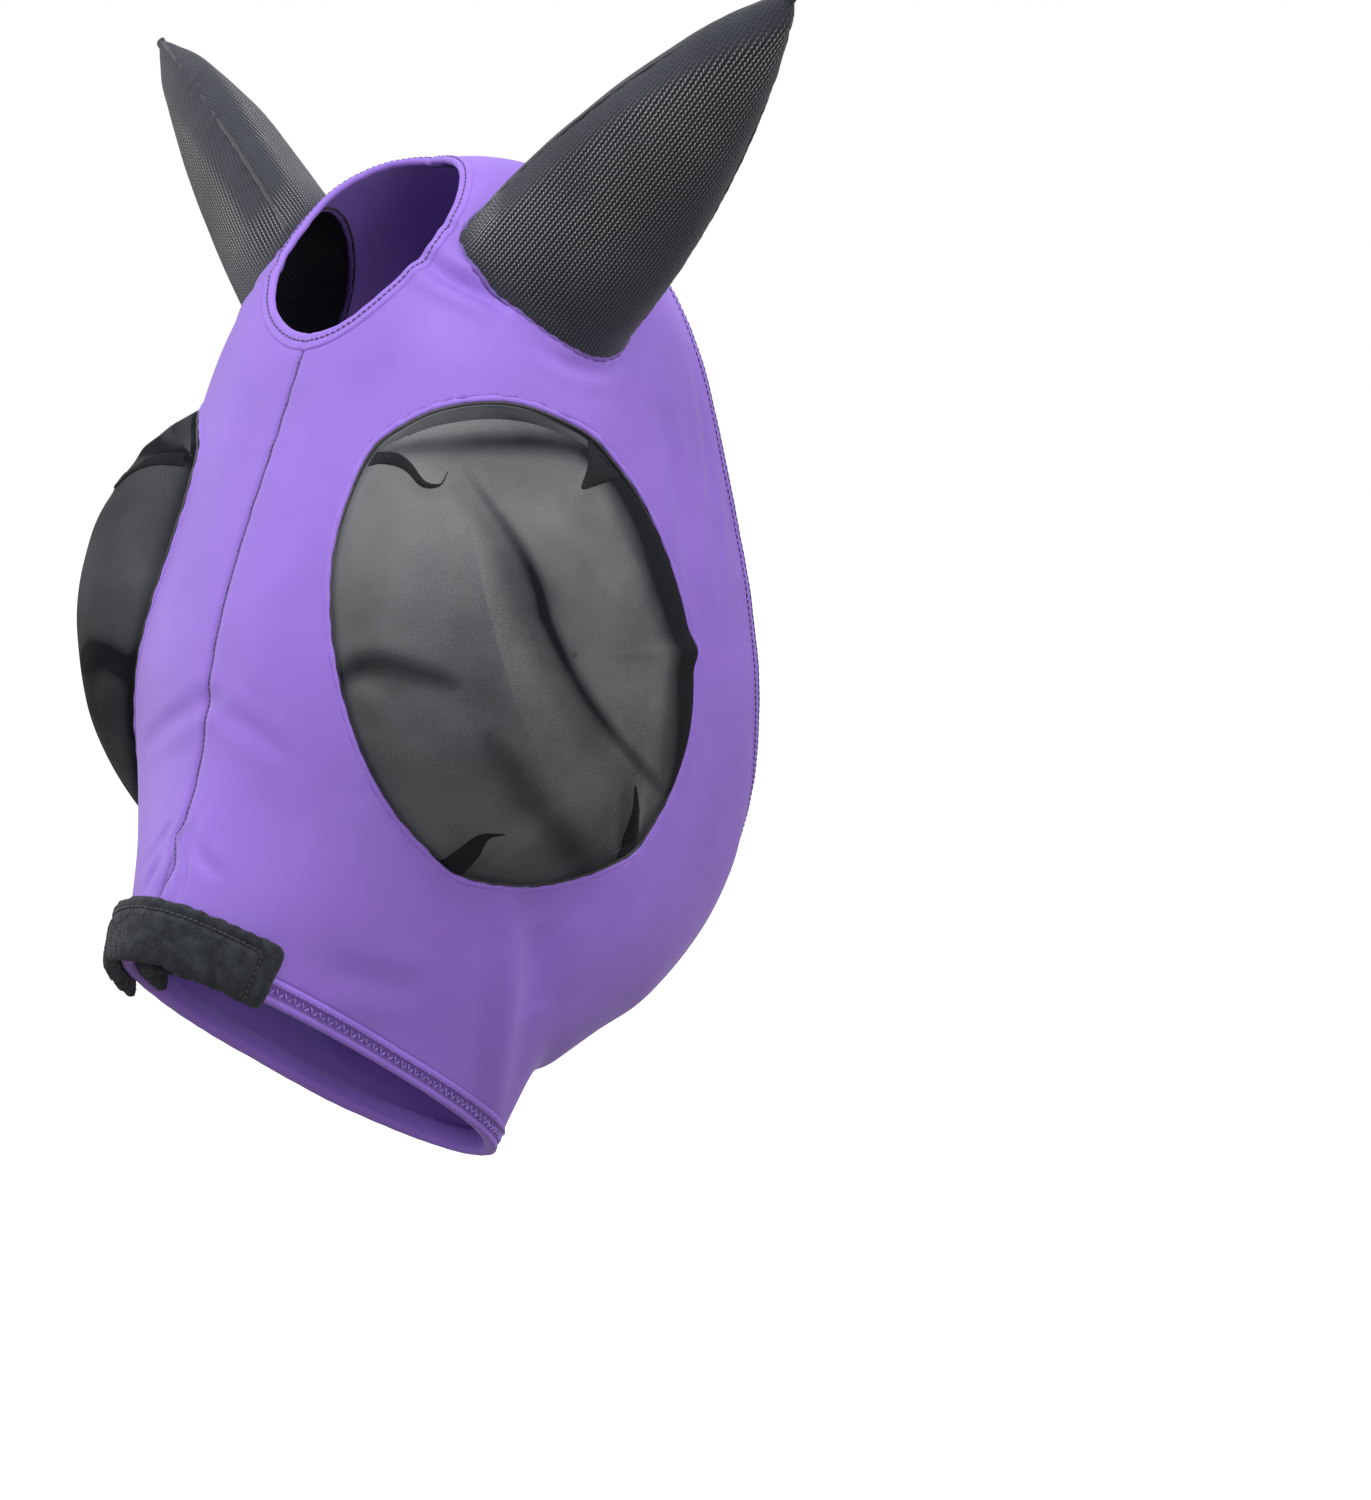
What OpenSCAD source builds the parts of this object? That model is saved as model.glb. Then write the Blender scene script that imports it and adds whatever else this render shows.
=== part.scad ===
// Pull-on horse fly mask: stretch hood, domed eye meshes, mesh ear pockets, fleece nose pad.
// Millimetres. The origin is on the poll, inside the crown of the hood.
// +X is the horse's left, -Y points forward along the face, +Z is up.

/* [Hood] */
// Width of the hood across the cheeks
cheek_width = 208; // [198:1:218]
// Height of the hood from the poll down to the chin end of the nose hem
hood_height = 466; // [452:1:480]
// Thickness of the stretch fabric
fabric = 1.6; // [1.4:0.1:1.8]

/* [Hems] */
// Width of the folded hems at the neck and the nose
hem_width = 11; // [10:0.5:12]
// Gap inside a folded hem that holds the elastic
hem_gap = 2.4; // [2.2:0.1:2.8]
// Width of the folded hem around the forelock opening
forelock_hem_width = 6; // [5:0.5:7]

/* [Eyes] */
// Width of an eye opening, square to its own axis
eye_width = 152; // [144:1:156]
// Height of an eye opening
eye_height = 222; // [214:1:226]
// How far the middle of an eye mesh stands proud of the hood
eye_dome = 46; // [36:1:50]
// Thickness of the eye mesh
eye_mesh = 1.2; // [1:0.1:1.5]

/* [Ears] */
// Length of an ear pocket from its base to its tip
ear_length = 170; // [162:1:176]
// Width of the oval base of an ear pocket
ear_base_width = 89; // [84:1:91]
// Thickness of the ear mesh
ear_mesh = 1.5; // [1.3:0.1:1.8]
// How deep an ear pocket is, as a share of its width
ear_depth = 0.68; // [0.65:0.01:0.72]

/* [Forelock opening] */
// Half angle of the forelock opening to each side of the middle of the crown
forelock_half_angle = 24.5; // [22:0.5:25]

/* [Nose pad] */
// Half angle that the fleece pad covers to each side of the middle of the nose
pad_half_angle = 50; // [46:1:54]
// Height of the fleece pad
pad_height = 34; // [30:1:36]
// Thickness of one layer of the fleece pad
pad_layer = 8; // [6:0.5:9]

/* [Hidden] */

// Cross-sections from the neck hem (first) to the nose hem (last). Each one is a slanted loop:
// forward and up of its top, forward and up of its bottom, half width, where the widest
// place is between top and bottom, and how square its upper and lower halves are.
wide = cheek_width / 208;
tall = hood_height / 466;
STATIONS = [
    [-78, -30 * tall, -168, -340 * tall, 86 * wide, 0.50, 3.6, 2.2],
    [-34, 0, -158, -366 * tall, 95 * wide, 0.46, 3.0, 2.2],
    [20, -5 * tall, -138, -388 * tall, 101 * wide, 0.42, 2.6, 2.2],
    [68, -55 * tall, -112, -404 * tall, 104 * wide, 0.39, 2.7, 2.2],
    [104, -130 * tall, -86, -414 * tall, 102 * wide, 0.39, 2.8, 2.1],
    [140, -210 * tall, -62, -425 * tall, 90 * wide, 0.40, 2.7, 2.0],
    [155, -283 * tall, -42, -432 * tall, 77 * wide, 0.41, 2.3, 2.0],
    [191, -356 * tall, -28, -466 * tall, 44 * wide, 0.52, 2.1, 2.1],
];
last_station = len(STATIONS) - 1;

// Small steps for slopes along the length (share of it) and round the loop (degrees)
step_t = 0.002;
step_p = 0.2;
// Half of the slot between the two face panels, in degrees of the loop
seam_slot = 0.25;
// Clearance between neighbouring pieces
gap = 0.4;
// Steps round a hem, an eye, an ear and the forelock opening, and along a pad and a seam
hem_steps = 48;
eye_steps = 40;
ear_steps = 32;
forelock_steps = 40;
pad_steps = 20;
seam_steps = 24;
// Steps along and round a face panel
panel_rows = 28;
panel_columns = 24;

// Eye opening: an oval cut along an axis that points forward and outward
eye_azimuth = 40;
eye_tilt = 13;
eye_aside = 40;
eye_drop = 221;
eye_roundness = 2.1;
eye_rim = 3;
// Where the cut for an eye starts below its centre, and how long it is
eye_cut_below = 12;
eye_cut_length = 200;

// Ear pocket: where its base centre lies on the hood, and which way it points
ear_place = [0.291, 48.3];
ear_aim = [113, 22, 115];
ear_clearance = 7.5;
ear_rim = 3;
ear_hole = ear_clearance + ear_rim + gap;
ear_cut_length = 110;

// Forelock opening: middle and half length, as shares of the hood's length
forelock_place = 0.36;
forelock_half_length = 0.12;
// Distance from the opening's middle to its edge that its outline grows with
forelock_reach = 50;
forelock_cut_above = 30;
forelock_cut_below = 25;
// How far its folded edge stands above the fabric, and below the hood's inner face
forelock_fold_above = 0.6;
forelock_fold_below = 1;

// How far a rolled edge stands proud of the fabric on each face
rim_lip = 0.4;
// Ear pocket: slot between its halves in degrees, and the binding over it
ear_slot = 1;
ear_seam_width = 2.4;
ear_seam_height = 1.4;
ear_seam_lift = 0.7;
// Stitching threads on the hems and on the pad
stitch_width = 0.9;
stitch_height = 0.6;
stitch_lift = 0.15;
stitch_inset = 2.6;
pad_stitch_inset = 7;
// Seam allowance strips inside the hood, and where they start and end along it
seam_width = 8;
seam_height = 1.8;
seam_drop = 0.6;
seam_clearance = 2;
hem_margin = hem_width + 2 * gap;
forelock_margin = forelock_half_length * (1 + (forelock_hem_width + seam_clearance) / forelock_reach);
poll_seam_start = hem_margin / end_speed(0, 0);
poll_seam_end = forelock_place - forelock_margin;
face_seam_start = forelock_place + forelock_margin;
face_seam_end = 1 - (pad_height + 1) / end_speed(1, 0);
throat_seam_start = hem_margin / end_speed(0, 180);
throat_seam_end = 1 - hem_margin / end_speed(1, 180);

function lerp(a, b, k) = a + (b - a) * k;
function unit(v) = v / norm(v);

// The hood's smooth form: a curve through the stations, and a squarish loop at each place
function station(t) =
    let (u = t * last_station)
    let (i = min(max(floor(u), 0), last_station - 1))
    let (f = u - i)
    let (p1 = STATIONS[i])
    let (p2 = STATIONS[i + 1])
    let (p0 = i == 0 ? 2 * p1 - p2 : STATIONS[i - 1])
    let (p3 = i + 2 > last_station ? 2 * p2 - p1 : STATIONS[i + 2])
    0.5 * (2 * p1 + (p2 - p0) * f + (2 * p0 - 5 * p1 + 4 * p2 - p3) * f * f
        + (3 * p1 - p0 - 3 * p2 + p3) * f * f * f);
function skin(t, p) =
    let (r = station(t))
    let (s = sin(p))
    let (c = cos(p))
    let (n = c >= 0 ? r[6] : r[7])
    let (q = pow(pow(abs(s), n) + pow(abs(c), n), -1 / n))
    let (h = c >= 0 ? r[5] * (1 - q * c) : r[5] - (1 - r[5]) * q * c)
    [r[4] * q * s, -lerp(r[0], r[2], h), lerp(r[1], r[3], h)];
function outward(t, p) =
    unit(cross(skin(t + step_t, p) - skin(t - step_t, p),
        skin(t, p + step_p) - skin(t, p - step_p)));
// A point at height n above the hood's inner face, square to it or along a given axis
function layer(tp, n) = skin(tp[0], tp[1]) + outward(tp[0], tp[1]) * n;
function slant_layer(tp, n, axis) =
    skin(tp[0], tp[1]) + axis * n / max(0.4, axis * outward(tp[0], tp[1]));

// A port is an opening with its own axis: centre, two directions across it, and its axis
function port_uv(port, point) = [(point - port[0]) * port[1], (point - port[0]) * port[2]];
function port_step(port, goal, tp) =
    let (here = port_uv(port, skin(tp[0], tp[1])))
    let (dt = (port_uv(port, skin(tp[0] + step_t, tp[1])) - here) / step_t)
    let (dp = (port_uv(port, skin(tp[0], tp[1] + step_p)) - here) / step_p)
    let (miss = goal - here)
    let (det = dt[0] * dp[1] - dt[1] * dp[0])
    [tp[0] + (miss[0] * dp[1] - miss[1] * dp[0]) / det,
        tp[1] + (dt[0] * miss[1] - dt[1] * miss[0]) / det];
function port_find(port, goal, tp, turns) =
    turns == 0 ? tp : port_find(port, goal, port_step(port, goal, tp), turns - 1);

// Place on the hood straight below a point of a port, walking out from the port's centre
function port_place(port, goal, start, hops = 4) =
    [for (k = 1, tp = port_find(port, goal / hops, start, 3); k <= hops;
        k = k + 1, tp = port_find(port, goal * k / hops, tp, 3)) tp][hops - 1];

eye_across = [cos(eye_azimuth), sin(eye_azimuth), 0];
eye_axis = [sin(eye_azimuth), -cos(eye_azimuth), 0];
eye_port = [
    eye_across * eye_aside + [0, 0, -eye_drop * tall],
    eye_across * cos(eye_tilt) + [0, 0, sin(eye_tilt)],
    -eye_across * sin(eye_tilt) + [0, 0, cos(eye_tilt)],
];
eye_start = port_find(eye_port, [0, 0], [0.55, 76], 6);
function oval(a, w, h) =
    let (q = pow(pow(abs(cos(a)), eye_roundness) + pow(abs(sin(a)), eye_roundness), -1 / eye_roundness))
    [w / 2 * q * cos(a), h / 2 * q * sin(a)];
function eye_place(a, inset) =
    port_place(eye_port, oval(a, eye_width - 2 * inset, eye_height - 2 * inset), eye_start);

ear_centre = skin(ear_place[0], ear_place[1]);
ear_axis = unit(ear_aim);
ear_across = unit(eye_across - ear_axis * (eye_across * ear_axis));
ear_port = [ear_centre, ear_across, cross(ear_axis, ear_across)];
// A ring on the hood round the ear's axis, spread outside the base oval
function ear_foot(a, spread) =
    let (w = ear_base_width / 2 + spread)
    let (d = ear_base_width / 2 * ear_depth + spread)
    port_place(ear_port, [w * cos(a), d * sin(a)], ear_place);
// Ear pocket wall: s runs from the base to the tip, n is the height above its outer face
function ear_width_at(s) = max(pow(1 - s * s, 0.85), 0.06);
function ear_reach(a, s) =
    let (place = ear_foot(a, 0))
    (skin(place[0], place[1]) - ear_centre) * ear_width_at(s);
function ear_point(a, s, n) =
    let (reach = ear_reach(a, s))
    ear_centre + ear_axis * ear_length * s + reach * (1 + n / norm(reach));

// Place at a distance d in from an end of the hood (end 0 is the neck, end 1 the nose)
function end_speed(end, p) = norm(skin(end + step_t, p) - skin(end - step_t, p)) / step_t / 2;
function end_place(end, p, d) = [end == 0 ? d / end_speed(0, p) : 1 - d / end_speed(1, p), p];
// Place at a distance outside the edge of the forelock opening
function forelock_place_at(a, d) =
    let (edge = [forelock_place + forelock_half_length * cos(a), forelock_half_angle * sin(a)])
    let (out = [forelock_half_length * cos(a), forelock_half_angle * sin(a)] / forelock_reach)
    edge + out * d;

// Solids from grids of points. A ring list sweeps a closed outline; it may close on itself.
function quad_faces(a, b, c, d) = [[a, b, c], [a, c, d]];
module sweep(rings, closed) {
    count = len(rings);
    size = len(rings[0]);
    sides = [for (i = [0 : count - (closed ? 1 : 2)]) for (j = [0 : size - 1])
        let (k = (i + 1) % count)
        let (m = (j + 1) % size)
        for (f = quad_faces(i * size + j, i * size + m, k * size + m, k * size + j)) f];
    ends = closed ? [] : concat(
        [for (j = [1 : size - 2]) [0, j + 1, j]],
        [for (j = [1 : size - 2])
            let (a = (count - 1) * size)
            [a, a + j, a + j + 1]]);
    polyhedron(points = [for (r = rings) for (p = r) p], faces = concat(sides, ends), convexity = 8);
}
// A closed shell between two grids of points, upper above lower
module shell(upper, lower) {
    rows = len(upper);
    cols = len(upper[0]);
    half = rows * cols;
    top = [for (i = [0 : rows - 2]) for (j = [0 : cols - 2])
        for (f = quad_faces(i * cols + j, i * cols + j + 1, (i + 1) * cols + j + 1, (i + 1) * cols + j)) f];
    bottom = [for (f = top) [half + f[2], half + f[1], half + f[0]]];
    rim = concat(
        [for (j = [0 : cols - 2]) [j + 1, j]],
        [for (j = [0 : cols - 2]) [(rows - 1) * cols + j, (rows - 1) * cols + j + 1]],
        [for (i = [0 : rows - 2]) [i * cols, (i + 1) * cols]],
        [for (i = [0 : rows - 2]) [(i + 1) * cols + cols - 1, i * cols + cols - 1]]);
    edges = [for (e = rim) for (f = quad_faces(e[0], e[1], half + e[1], half + e[0])) f];
    polyhedron(points = concat([for (r = upper) for (p = r) p], [for (r = lower) for (p = r) p]),
        faces = concat(top, bottom, edges), convexity = 8);
}

function steps(a, b, n) = [for (i = [0 : n]) a + (b - a) * i / n];

module eye_cutter() {
    multmatrix([
        [eye_port[1][0], eye_port[2][0], eye_axis[0], eye_port[0][0]],
        [eye_port[1][1], eye_port[2][1], eye_axis[1], eye_port[0][1]],
        [eye_port[1][2], eye_port[2][2], eye_axis[2], eye_port[0][2]],
        [0, 0, 0, 1],
    ])
        translate([0, 0, -eye_cut_below])
            linear_extrude(height = eye_cut_length)
                polygon([for (i = [0 : 2 * eye_steps - 1])
                    oval(180 * i / eye_steps, eye_width + 2 * eye_rim + 2 * gap,
                        eye_height + 2 * eye_rim + 2 * gap)]);
}
module ear_cutter() {
    multmatrix([
        [ear_port[1][0], ear_port[2][0], ear_axis[0], ear_centre[0]],
        [ear_port[1][1], ear_port[2][1], ear_axis[1], ear_centre[1]],
        [ear_port[1][2], ear_port[2][2], ear_axis[2], ear_centre[2]],
        [0, 0, 0, 1],
    ])
        linear_extrude(height = ear_cut_length, center = true)
            polygon([for (i = [0 : 2 * ear_steps - 1])
                let (a = 180 * i / ear_steps)
                [(ear_base_width / 2 + ear_hole) * cos(a),
                    (ear_base_width / 2 * ear_depth + ear_hole) * sin(a)]]);
}
// Places round the forelock opening, at a distance outside its edge
function forelock_ring(d) =
    [for (i = [0 : forelock_steps - 1]) forelock_place_at(360 * i / forelock_steps, d)];
module forelock_cutter() {
    ring = forelock_ring(forelock_hem_width + gap);
    above = [for (tp = ring) layer(tp, forelock_cut_above)];
    below = [for (tp = ring) layer(tp, -forelock_cut_below)];
    sweep([above, below], false);
}

// Colours
purple = [0.58, 0.42, 0.80];
dark_purple = [0.40, 0.29, 0.60];
black_mesh = [0.20, 0.20, 0.22];
black_fleece = [0.14, 0.16, 0.18];
elastic_white = [0.85, 0.85, 0.88];

// One half of the hood, with its eye, ear and forelock openings cut away
module face_panel() {
    ts = steps(0, 1, panel_rows);
    ps = steps(seam_slot, 180 - seam_slot, panel_columns);
    inner = [for (t = ts) [for (p = ps) layer(panel_place(t, p), 0)]];
    outer = [for (t = ts) [for (p = ps) layer(panel_place(t, p), fabric)]];
    resize([0, 0, 0])
        difference() {
            shell(outer, inner);
            eye_cutter();
            ear_cutter();
            forelock_cutter();
        }
}
// The panel runs from one hem to the other, stopping short of both
function panel_place(t, p) =
    let (start = end_place(0, p, hem_width + gap))
    let (finish = end_place(1, p, hem_width + gap))
    [lerp(start[0], finish[0], t), p];

// Domed eye mesh: rings from the middle out to the rim
function dome_height(k) = eye_dome * pow(max(0, 1 - k * k), 0.8);
function dome_point(tp, k, n) =
    k > 0.95 ? slant_layer(tp, dome_height(k) + n, eye_axis) : layer(tp, dome_height(k) + n);
module eye_dome_mesh() {
    ks = [0.02, 0.2, 0.38, 0.54, 0.68, 0.8, 0.9, 0.97, 1];
    places = [for (k = ks) [for (i = [0 : eye_steps])
        let (edge = oval(360 * i / eye_steps, eye_width - 2 * gap, eye_height - 2 * gap))
        port_place(eye_port, edge * k, eye_start)]];
    lower = [for (r = [0 : len(ks) - 1]) [for (i = [0 : eye_steps - 1])
        dome_point(places[r][i], ks[r], 0)]];
    upper = [for (r = [0 : len(ks) - 1]) [for (i = [0 : eye_steps - 1])
        dome_point(places[r][i], ks[r], eye_mesh)]];
    bowl(upper, lower);
}
// A closed bowl between two stacks of rings; the first ring of each is filled in
module bowl(upper, lower) {
    rows = len(upper);
    cols = len(upper[0]);
    half = rows * cols;
    top = concat(
        [for (i = [0 : rows - 2]) for (j = [0 : cols - 1])
            let (k = (j + 1) % cols)
            for (f = quad_faces(i * cols + j, i * cols + k, (i + 1) * cols + k, (i + 1) * cols + j)) f],
        [for (j = [1 : cols - 2]) [0, j + 1, j]]);
    bottom = [for (f = top) [half + f[2], half + f[1], half + f[0]]];
    edges = [for (j = [0 : cols - 1])
        let (k = (j + 1) % cols)
        let (a = (rows - 1) * cols)
        for (f = quad_faces(a + j, a + k, half + a + k, half + a + j)) f];
    polyhedron(points = concat([for (r = upper) for (p = r) p], [for (r = lower) for (p = r) p]),
        faces = concat(top, bottom, edges), convexity = 8);
}

// Rolled edge of the hood round the eye mesh
module eye_rolled_edge() {
    inside = [for (i = [0 : eye_steps - 1])
        port_place(eye_port, oval(360 * i / eye_steps, eye_width, eye_height), eye_start)];
    outside = [for (i = [0 : eye_steps - 1])
        port_place(eye_port, oval(360 * i / eye_steps, eye_width + 2 * eye_rim, eye_height + 2 * eye_rim),
            eye_start)];
    sweep([for (i = [0 : eye_steps - 1]) [
        slant_layer(inside[i], -rim_lip, eye_axis),
        slant_layer(outside[i], -rim_lip, eye_axis),
        slant_layer(outside[i], fabric + rim_lip, eye_axis),
        slant_layer(inside[i], fabric + rim_lip, eye_axis),
    ]], true);
}

// One half of an ear pocket's wall, between two angles round its oval
module ear_half(from, to) {
    ss = [0, 0.1, 0.22, 0.35, 0.48, 0.6, 0.7, 0.79, 0.87, 0.93, 0.97, 1];
    angles = steps(to, from, ear_steps / 2);
    shell([for (s = ss) [for (a = angles) ear_point(a, s, 0)]],
        [for (s = ss) [for (a = angles) ear_point(a, s, -ear_mesh)]]);
}
module ear_front() { ear_half(180 + ear_slot, 360 - ear_slot); }
module ear_back() { ear_half(ear_slot, 180 - ear_slot); }
// Bound seam that joins the two halves: up the rear edge, over the tip and down the front edge
module ear_bound_seam() {
    ss = [0.05, 0.15, 0.3, 0.45, 0.6, 0.75, 0.86, 0.94, 1];
    rise = ear_seam_height / 2 + ear_seam_lift;
    rear = [for (s = ss) ear_point(0, s, rise)];
    front = [for (i = [0 : len(ss) - 1]) ear_point(180, ss[len(ss) - 1 - i], rise)];
    tip = [ear_centre + ear_axis * (ear_length + rise)];
    outs = concat([for (s = ss) unit(ear_reach(0, s))], [ear_axis], [for (s = ss) unit(ear_reach(180, s))]);
    thread(concat(rear, tip, front), outs, ear_seam_width, ear_seam_height, false);
}
// Ring of the hood round the foot of an ear pocket
module ear_base_ring() {
    inside = [for (i = [0 : ear_steps - 1]) ear_foot(360 * i / ear_steps, ear_clearance)];
    outside = [for (i = [0 : ear_steps - 1]) ear_foot(360 * i / ear_steps, ear_clearance + ear_rim)];
    sweep([for (i = [0 : ear_steps - 1]) [
        slant_layer(inside[i], -rim_lip, ear_axis),
        slant_layer(outside[i], -rim_lip, ear_axis),
        slant_layer(outside[i], fabric + rim_lip, ear_axis),
        slant_layer(inside[i], fabric + rim_lip, ear_axis),
    ]], true);
}

// A strip of rectangular section along a list of points, with its own upward direction at each
module thread(points, ups, width, height, closed) {
    last = len(points) - 1;
    sweep([for (i = [0 : last])
        let (before = points[i == 0 ? (closed ? last : 0) : i - 1])
        let (after = points[i == last ? (closed ? 0 : last) : i + 1])
        let (side = unit(cross(ups[i], after - before)) * width / 2)
        let (up = ups[i] * height / 2)
        let (left = points[i] - side)
        let (right = points[i] + side)
        [left - up, left + up, right + up, right - up]], closed);
}
// A thread round a list of places on the hood, at height n
module hood_thread(places, n, width, height, closed) {
    thread([for (tp = places) layer(tp, n)], [for (tp = places) outward(tp[0], tp[1])],
        width, height, closed);
}

// A folded hem along an end of the hood, in section from its edge inwards
hem_bevel = 0.8;
hem_section = [
    [hem_width, 0], [hem_width, fabric], [hem_bevel, fabric], [0, 0], [0, -hem_gap],
    [hem_bevel, -hem_gap - fabric], [hem_width, -hem_gap - fabric], [hem_width, -hem_gap],
    [fabric + gap, -hem_gap], [fabric + gap, 0],
];
function end_ring(end, outline) =
    [for (i = [0 : hem_steps - 1])
        let (p = 360 * i / hem_steps * (end == 0 ? 1 : -1))
        [for (q = outline) layer(end_place(end, p, q[0]), q[1])]];
module folded_hem(end) { sweep(end_ring(end, hem_section), true); }
// Flat elastic that lies loose inside a hem
elastic_play = 0.3;
elastic_inset = 1;
module hem_elastic(end) {
    sweep(end_ring(end, [
        [hem_width - elastic_inset, -elastic_play], [fabric + 2 * gap, -elastic_play],
        [fabric + 2 * gap, elastic_play - hem_gap], [hem_width - elastic_inset, elastic_play - hem_gap],
    ]), true);
}
// Two rows of cover stitch on the outer face of a hem
module hem_cover_stitch(end) {
    for (d = [stitch_inset, hem_width - stitch_inset])
        hood_thread([for (i = [0 : hem_steps - 1])
            end_place(end, 360 * i / hem_steps * (end == 0 ? -1 : 1), d)],
            fabric + stitch_lift + stitch_height / 2, stitch_width, stitch_height, true);
}

// Folded edge round the forelock opening
forelock_section = [
    [0, -forelock_fold_below], [forelock_hem_width, -forelock_fold_below],
    [forelock_hem_width, fabric + forelock_fold_above], [0, fabric + forelock_fold_above],
];
module forelock_folded_edge() {
    resize([0, 0, 0])
        difference() {
            sweep([for (i = [0 : forelock_steps - 1])
                let (a = 360 * i / forelock_steps)
                [for (q = forelock_section) layer(forelock_place_at(a, q[0]), q[1])]], true);
            ear_cutter();
            mirror([1, 0, 0]) ear_cutter();
        }
}
module forelock_cover_stitch() {
    hood_thread(forelock_ring(forelock_hem_width / 2),
        fabric + forelock_fold_above + stitch_lift + stitch_height / 2, stitch_width, stitch_height, true);
}

// Fleece pad folded over the nose hem, in section from below the hem edge upwards
pad_below = 6;
pad_above = pad_height - pad_below;
pad_outer_face = fabric + 1.2;
pad_inner_face = -hem_gap - fabric - gap;
// Where the two layers meet below the hem edge: distance below it, and height of their join
pad_fold = -1.6;
pad_join = -1;
// Its topstitch: height over the fleece, distance from the lower edge, and its corner
pad_stitch_lift = 0.5;
pad_stitch_end = 2;
pad_corner = 1;
function pad_sweep(outline) =
    [for (p = steps(-pad_half_angle, pad_half_angle, pad_steps))
        [for (q = outline) layer(end_place(1, p, q[0]), q[1])]];
module pad_outer_layer() {
    sweep(pad_sweep([
        [pad_fold, pad_outer_face], [pad_fold, pad_join], [-pad_below, pad_join],
        [-pad_below, pad_outer_face + pad_layer], [pad_above, pad_outer_face + pad_layer],
        [pad_above, pad_outer_face],
    ]), false);
}
module pad_inner_layer() {
    sweep(pad_sweep([
        [pad_fold, pad_inner_face], [pad_above, pad_inner_face], [pad_above, pad_inner_face - pad_layer],
        [-pad_below, pad_inner_face - pad_layer], [-pad_below, pad_join - gap], [pad_fold, pad_join - gap],
    ]), false);
}
module pad_topstitch() {
    side = pad_half_angle - pad_stitch_inset;
    top = pad_above - pad_stitch_inset;
    path = concat(
        [for (d = steps(pad_stitch_end - pad_below, top - pad_corner, 4)) [d, side]],
        [for (p = steps(side - pad_corner, pad_corner - side, 16)) [top, p]],
        [for (d = steps(top - pad_corner, pad_stitch_end - pad_below, 4)) [d, -side]]);
    hood_thread([for (q = path) end_place(1, q[1], q[0])],
        pad_outer_face + pad_layer + pad_stitch_lift + stitch_height / 2, stitch_width, stitch_height, false);
}

// Overlocked seam allowance inside the hood, along the middle line
module overlocked_seam(p, from, to) {
    hood_thread([for (t = steps(from, to, seam_steps)) [t, p]], -seam_height / 2 - seam_drop,
        seam_width, seam_height, false);
}

module left_face_panel() color(purple) face_panel();
module right_face_panel() color(purple) mirror([1, 0, 0]) face_panel();
module left_eye_mesh() color(black_mesh, 0.7) eye_dome_mesh();
module right_eye_mesh() color(black_mesh, 0.7) mirror([1, 0, 0]) eye_dome_mesh();
module left_eye_binding() color(dark_purple) eye_rolled_edge();
module right_eye_binding() color(dark_purple) mirror([1, 0, 0]) eye_rolled_edge();
module left_ear_front() color(black_mesh) ear_front();
module right_ear_front() color(black_mesh) mirror([1, 0, 0]) ear_front();
module left_ear_back() color(black_mesh) ear_back();
module right_ear_back() color(black_mesh) mirror([1, 0, 0]) ear_back();
module left_ear_seam() color(black_fleece) ear_bound_seam();
module right_ear_seam() color(black_fleece) mirror([1, 0, 0]) ear_bound_seam();
module left_ear_base_binding() color(dark_purple) ear_base_ring();
module right_ear_base_binding() color(dark_purple) mirror([1, 0, 0]) ear_base_ring();
module forelock_hem() color(purple) forelock_folded_edge();
module forelock_hem_stitching() color(dark_purple) forelock_cover_stitch();
module neck_hem() color(purple) folded_hem(0);
module neck_elastic() color(elastic_white) hem_elastic(0);
module neck_hem_stitching() color(dark_purple) hem_cover_stitch(0);
module nose_hem() color(purple) folded_hem(1);
module nose_elastic() color(elastic_white) hem_elastic(1);
module nose_hem_stitching() color(dark_purple) hem_cover_stitch(1);
module nose_fleece_outer() color(black_fleece) pad_outer_layer();
module nose_fleece_inner() color(black_fleece) pad_inner_layer();
module nose_fleece_stitching() color(black_mesh) pad_topstitch();
module face_seam() color(dark_purple) overlocked_seam(0, face_seam_start, face_seam_end);
module poll_seam() color(dark_purple) overlocked_seam(0, poll_seam_start, poll_seam_end);
module throat_seam() color(dark_purple) overlocked_seam(180, throat_seam_start, throat_seam_end);

left_face_panel();
right_face_panel();
left_eye_mesh();
right_eye_mesh();
left_eye_binding();
right_eye_binding();
left_ear_front();
right_ear_front();
left_ear_back();
right_ear_back();
left_ear_seam();
right_ear_seam();
left_ear_base_binding();
right_ear_base_binding();
forelock_hem();
forelock_hem_stitching();
neck_hem();
neck_elastic();
neck_hem_stitching();
nose_hem();
nose_elastic();
nose_hem_stitching();
nose_fleece_outer();
nose_fleece_inner();
nose_fleece_stitching();
face_seam();
poll_seam();
throat_seam();
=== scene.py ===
"""Stretch horse fly mask: purple hood, domed eye meshes, mesh ear pockets, fleece nose pad.

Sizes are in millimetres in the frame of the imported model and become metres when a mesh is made.
"""

import itertools
import math
from functools import partial

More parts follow.
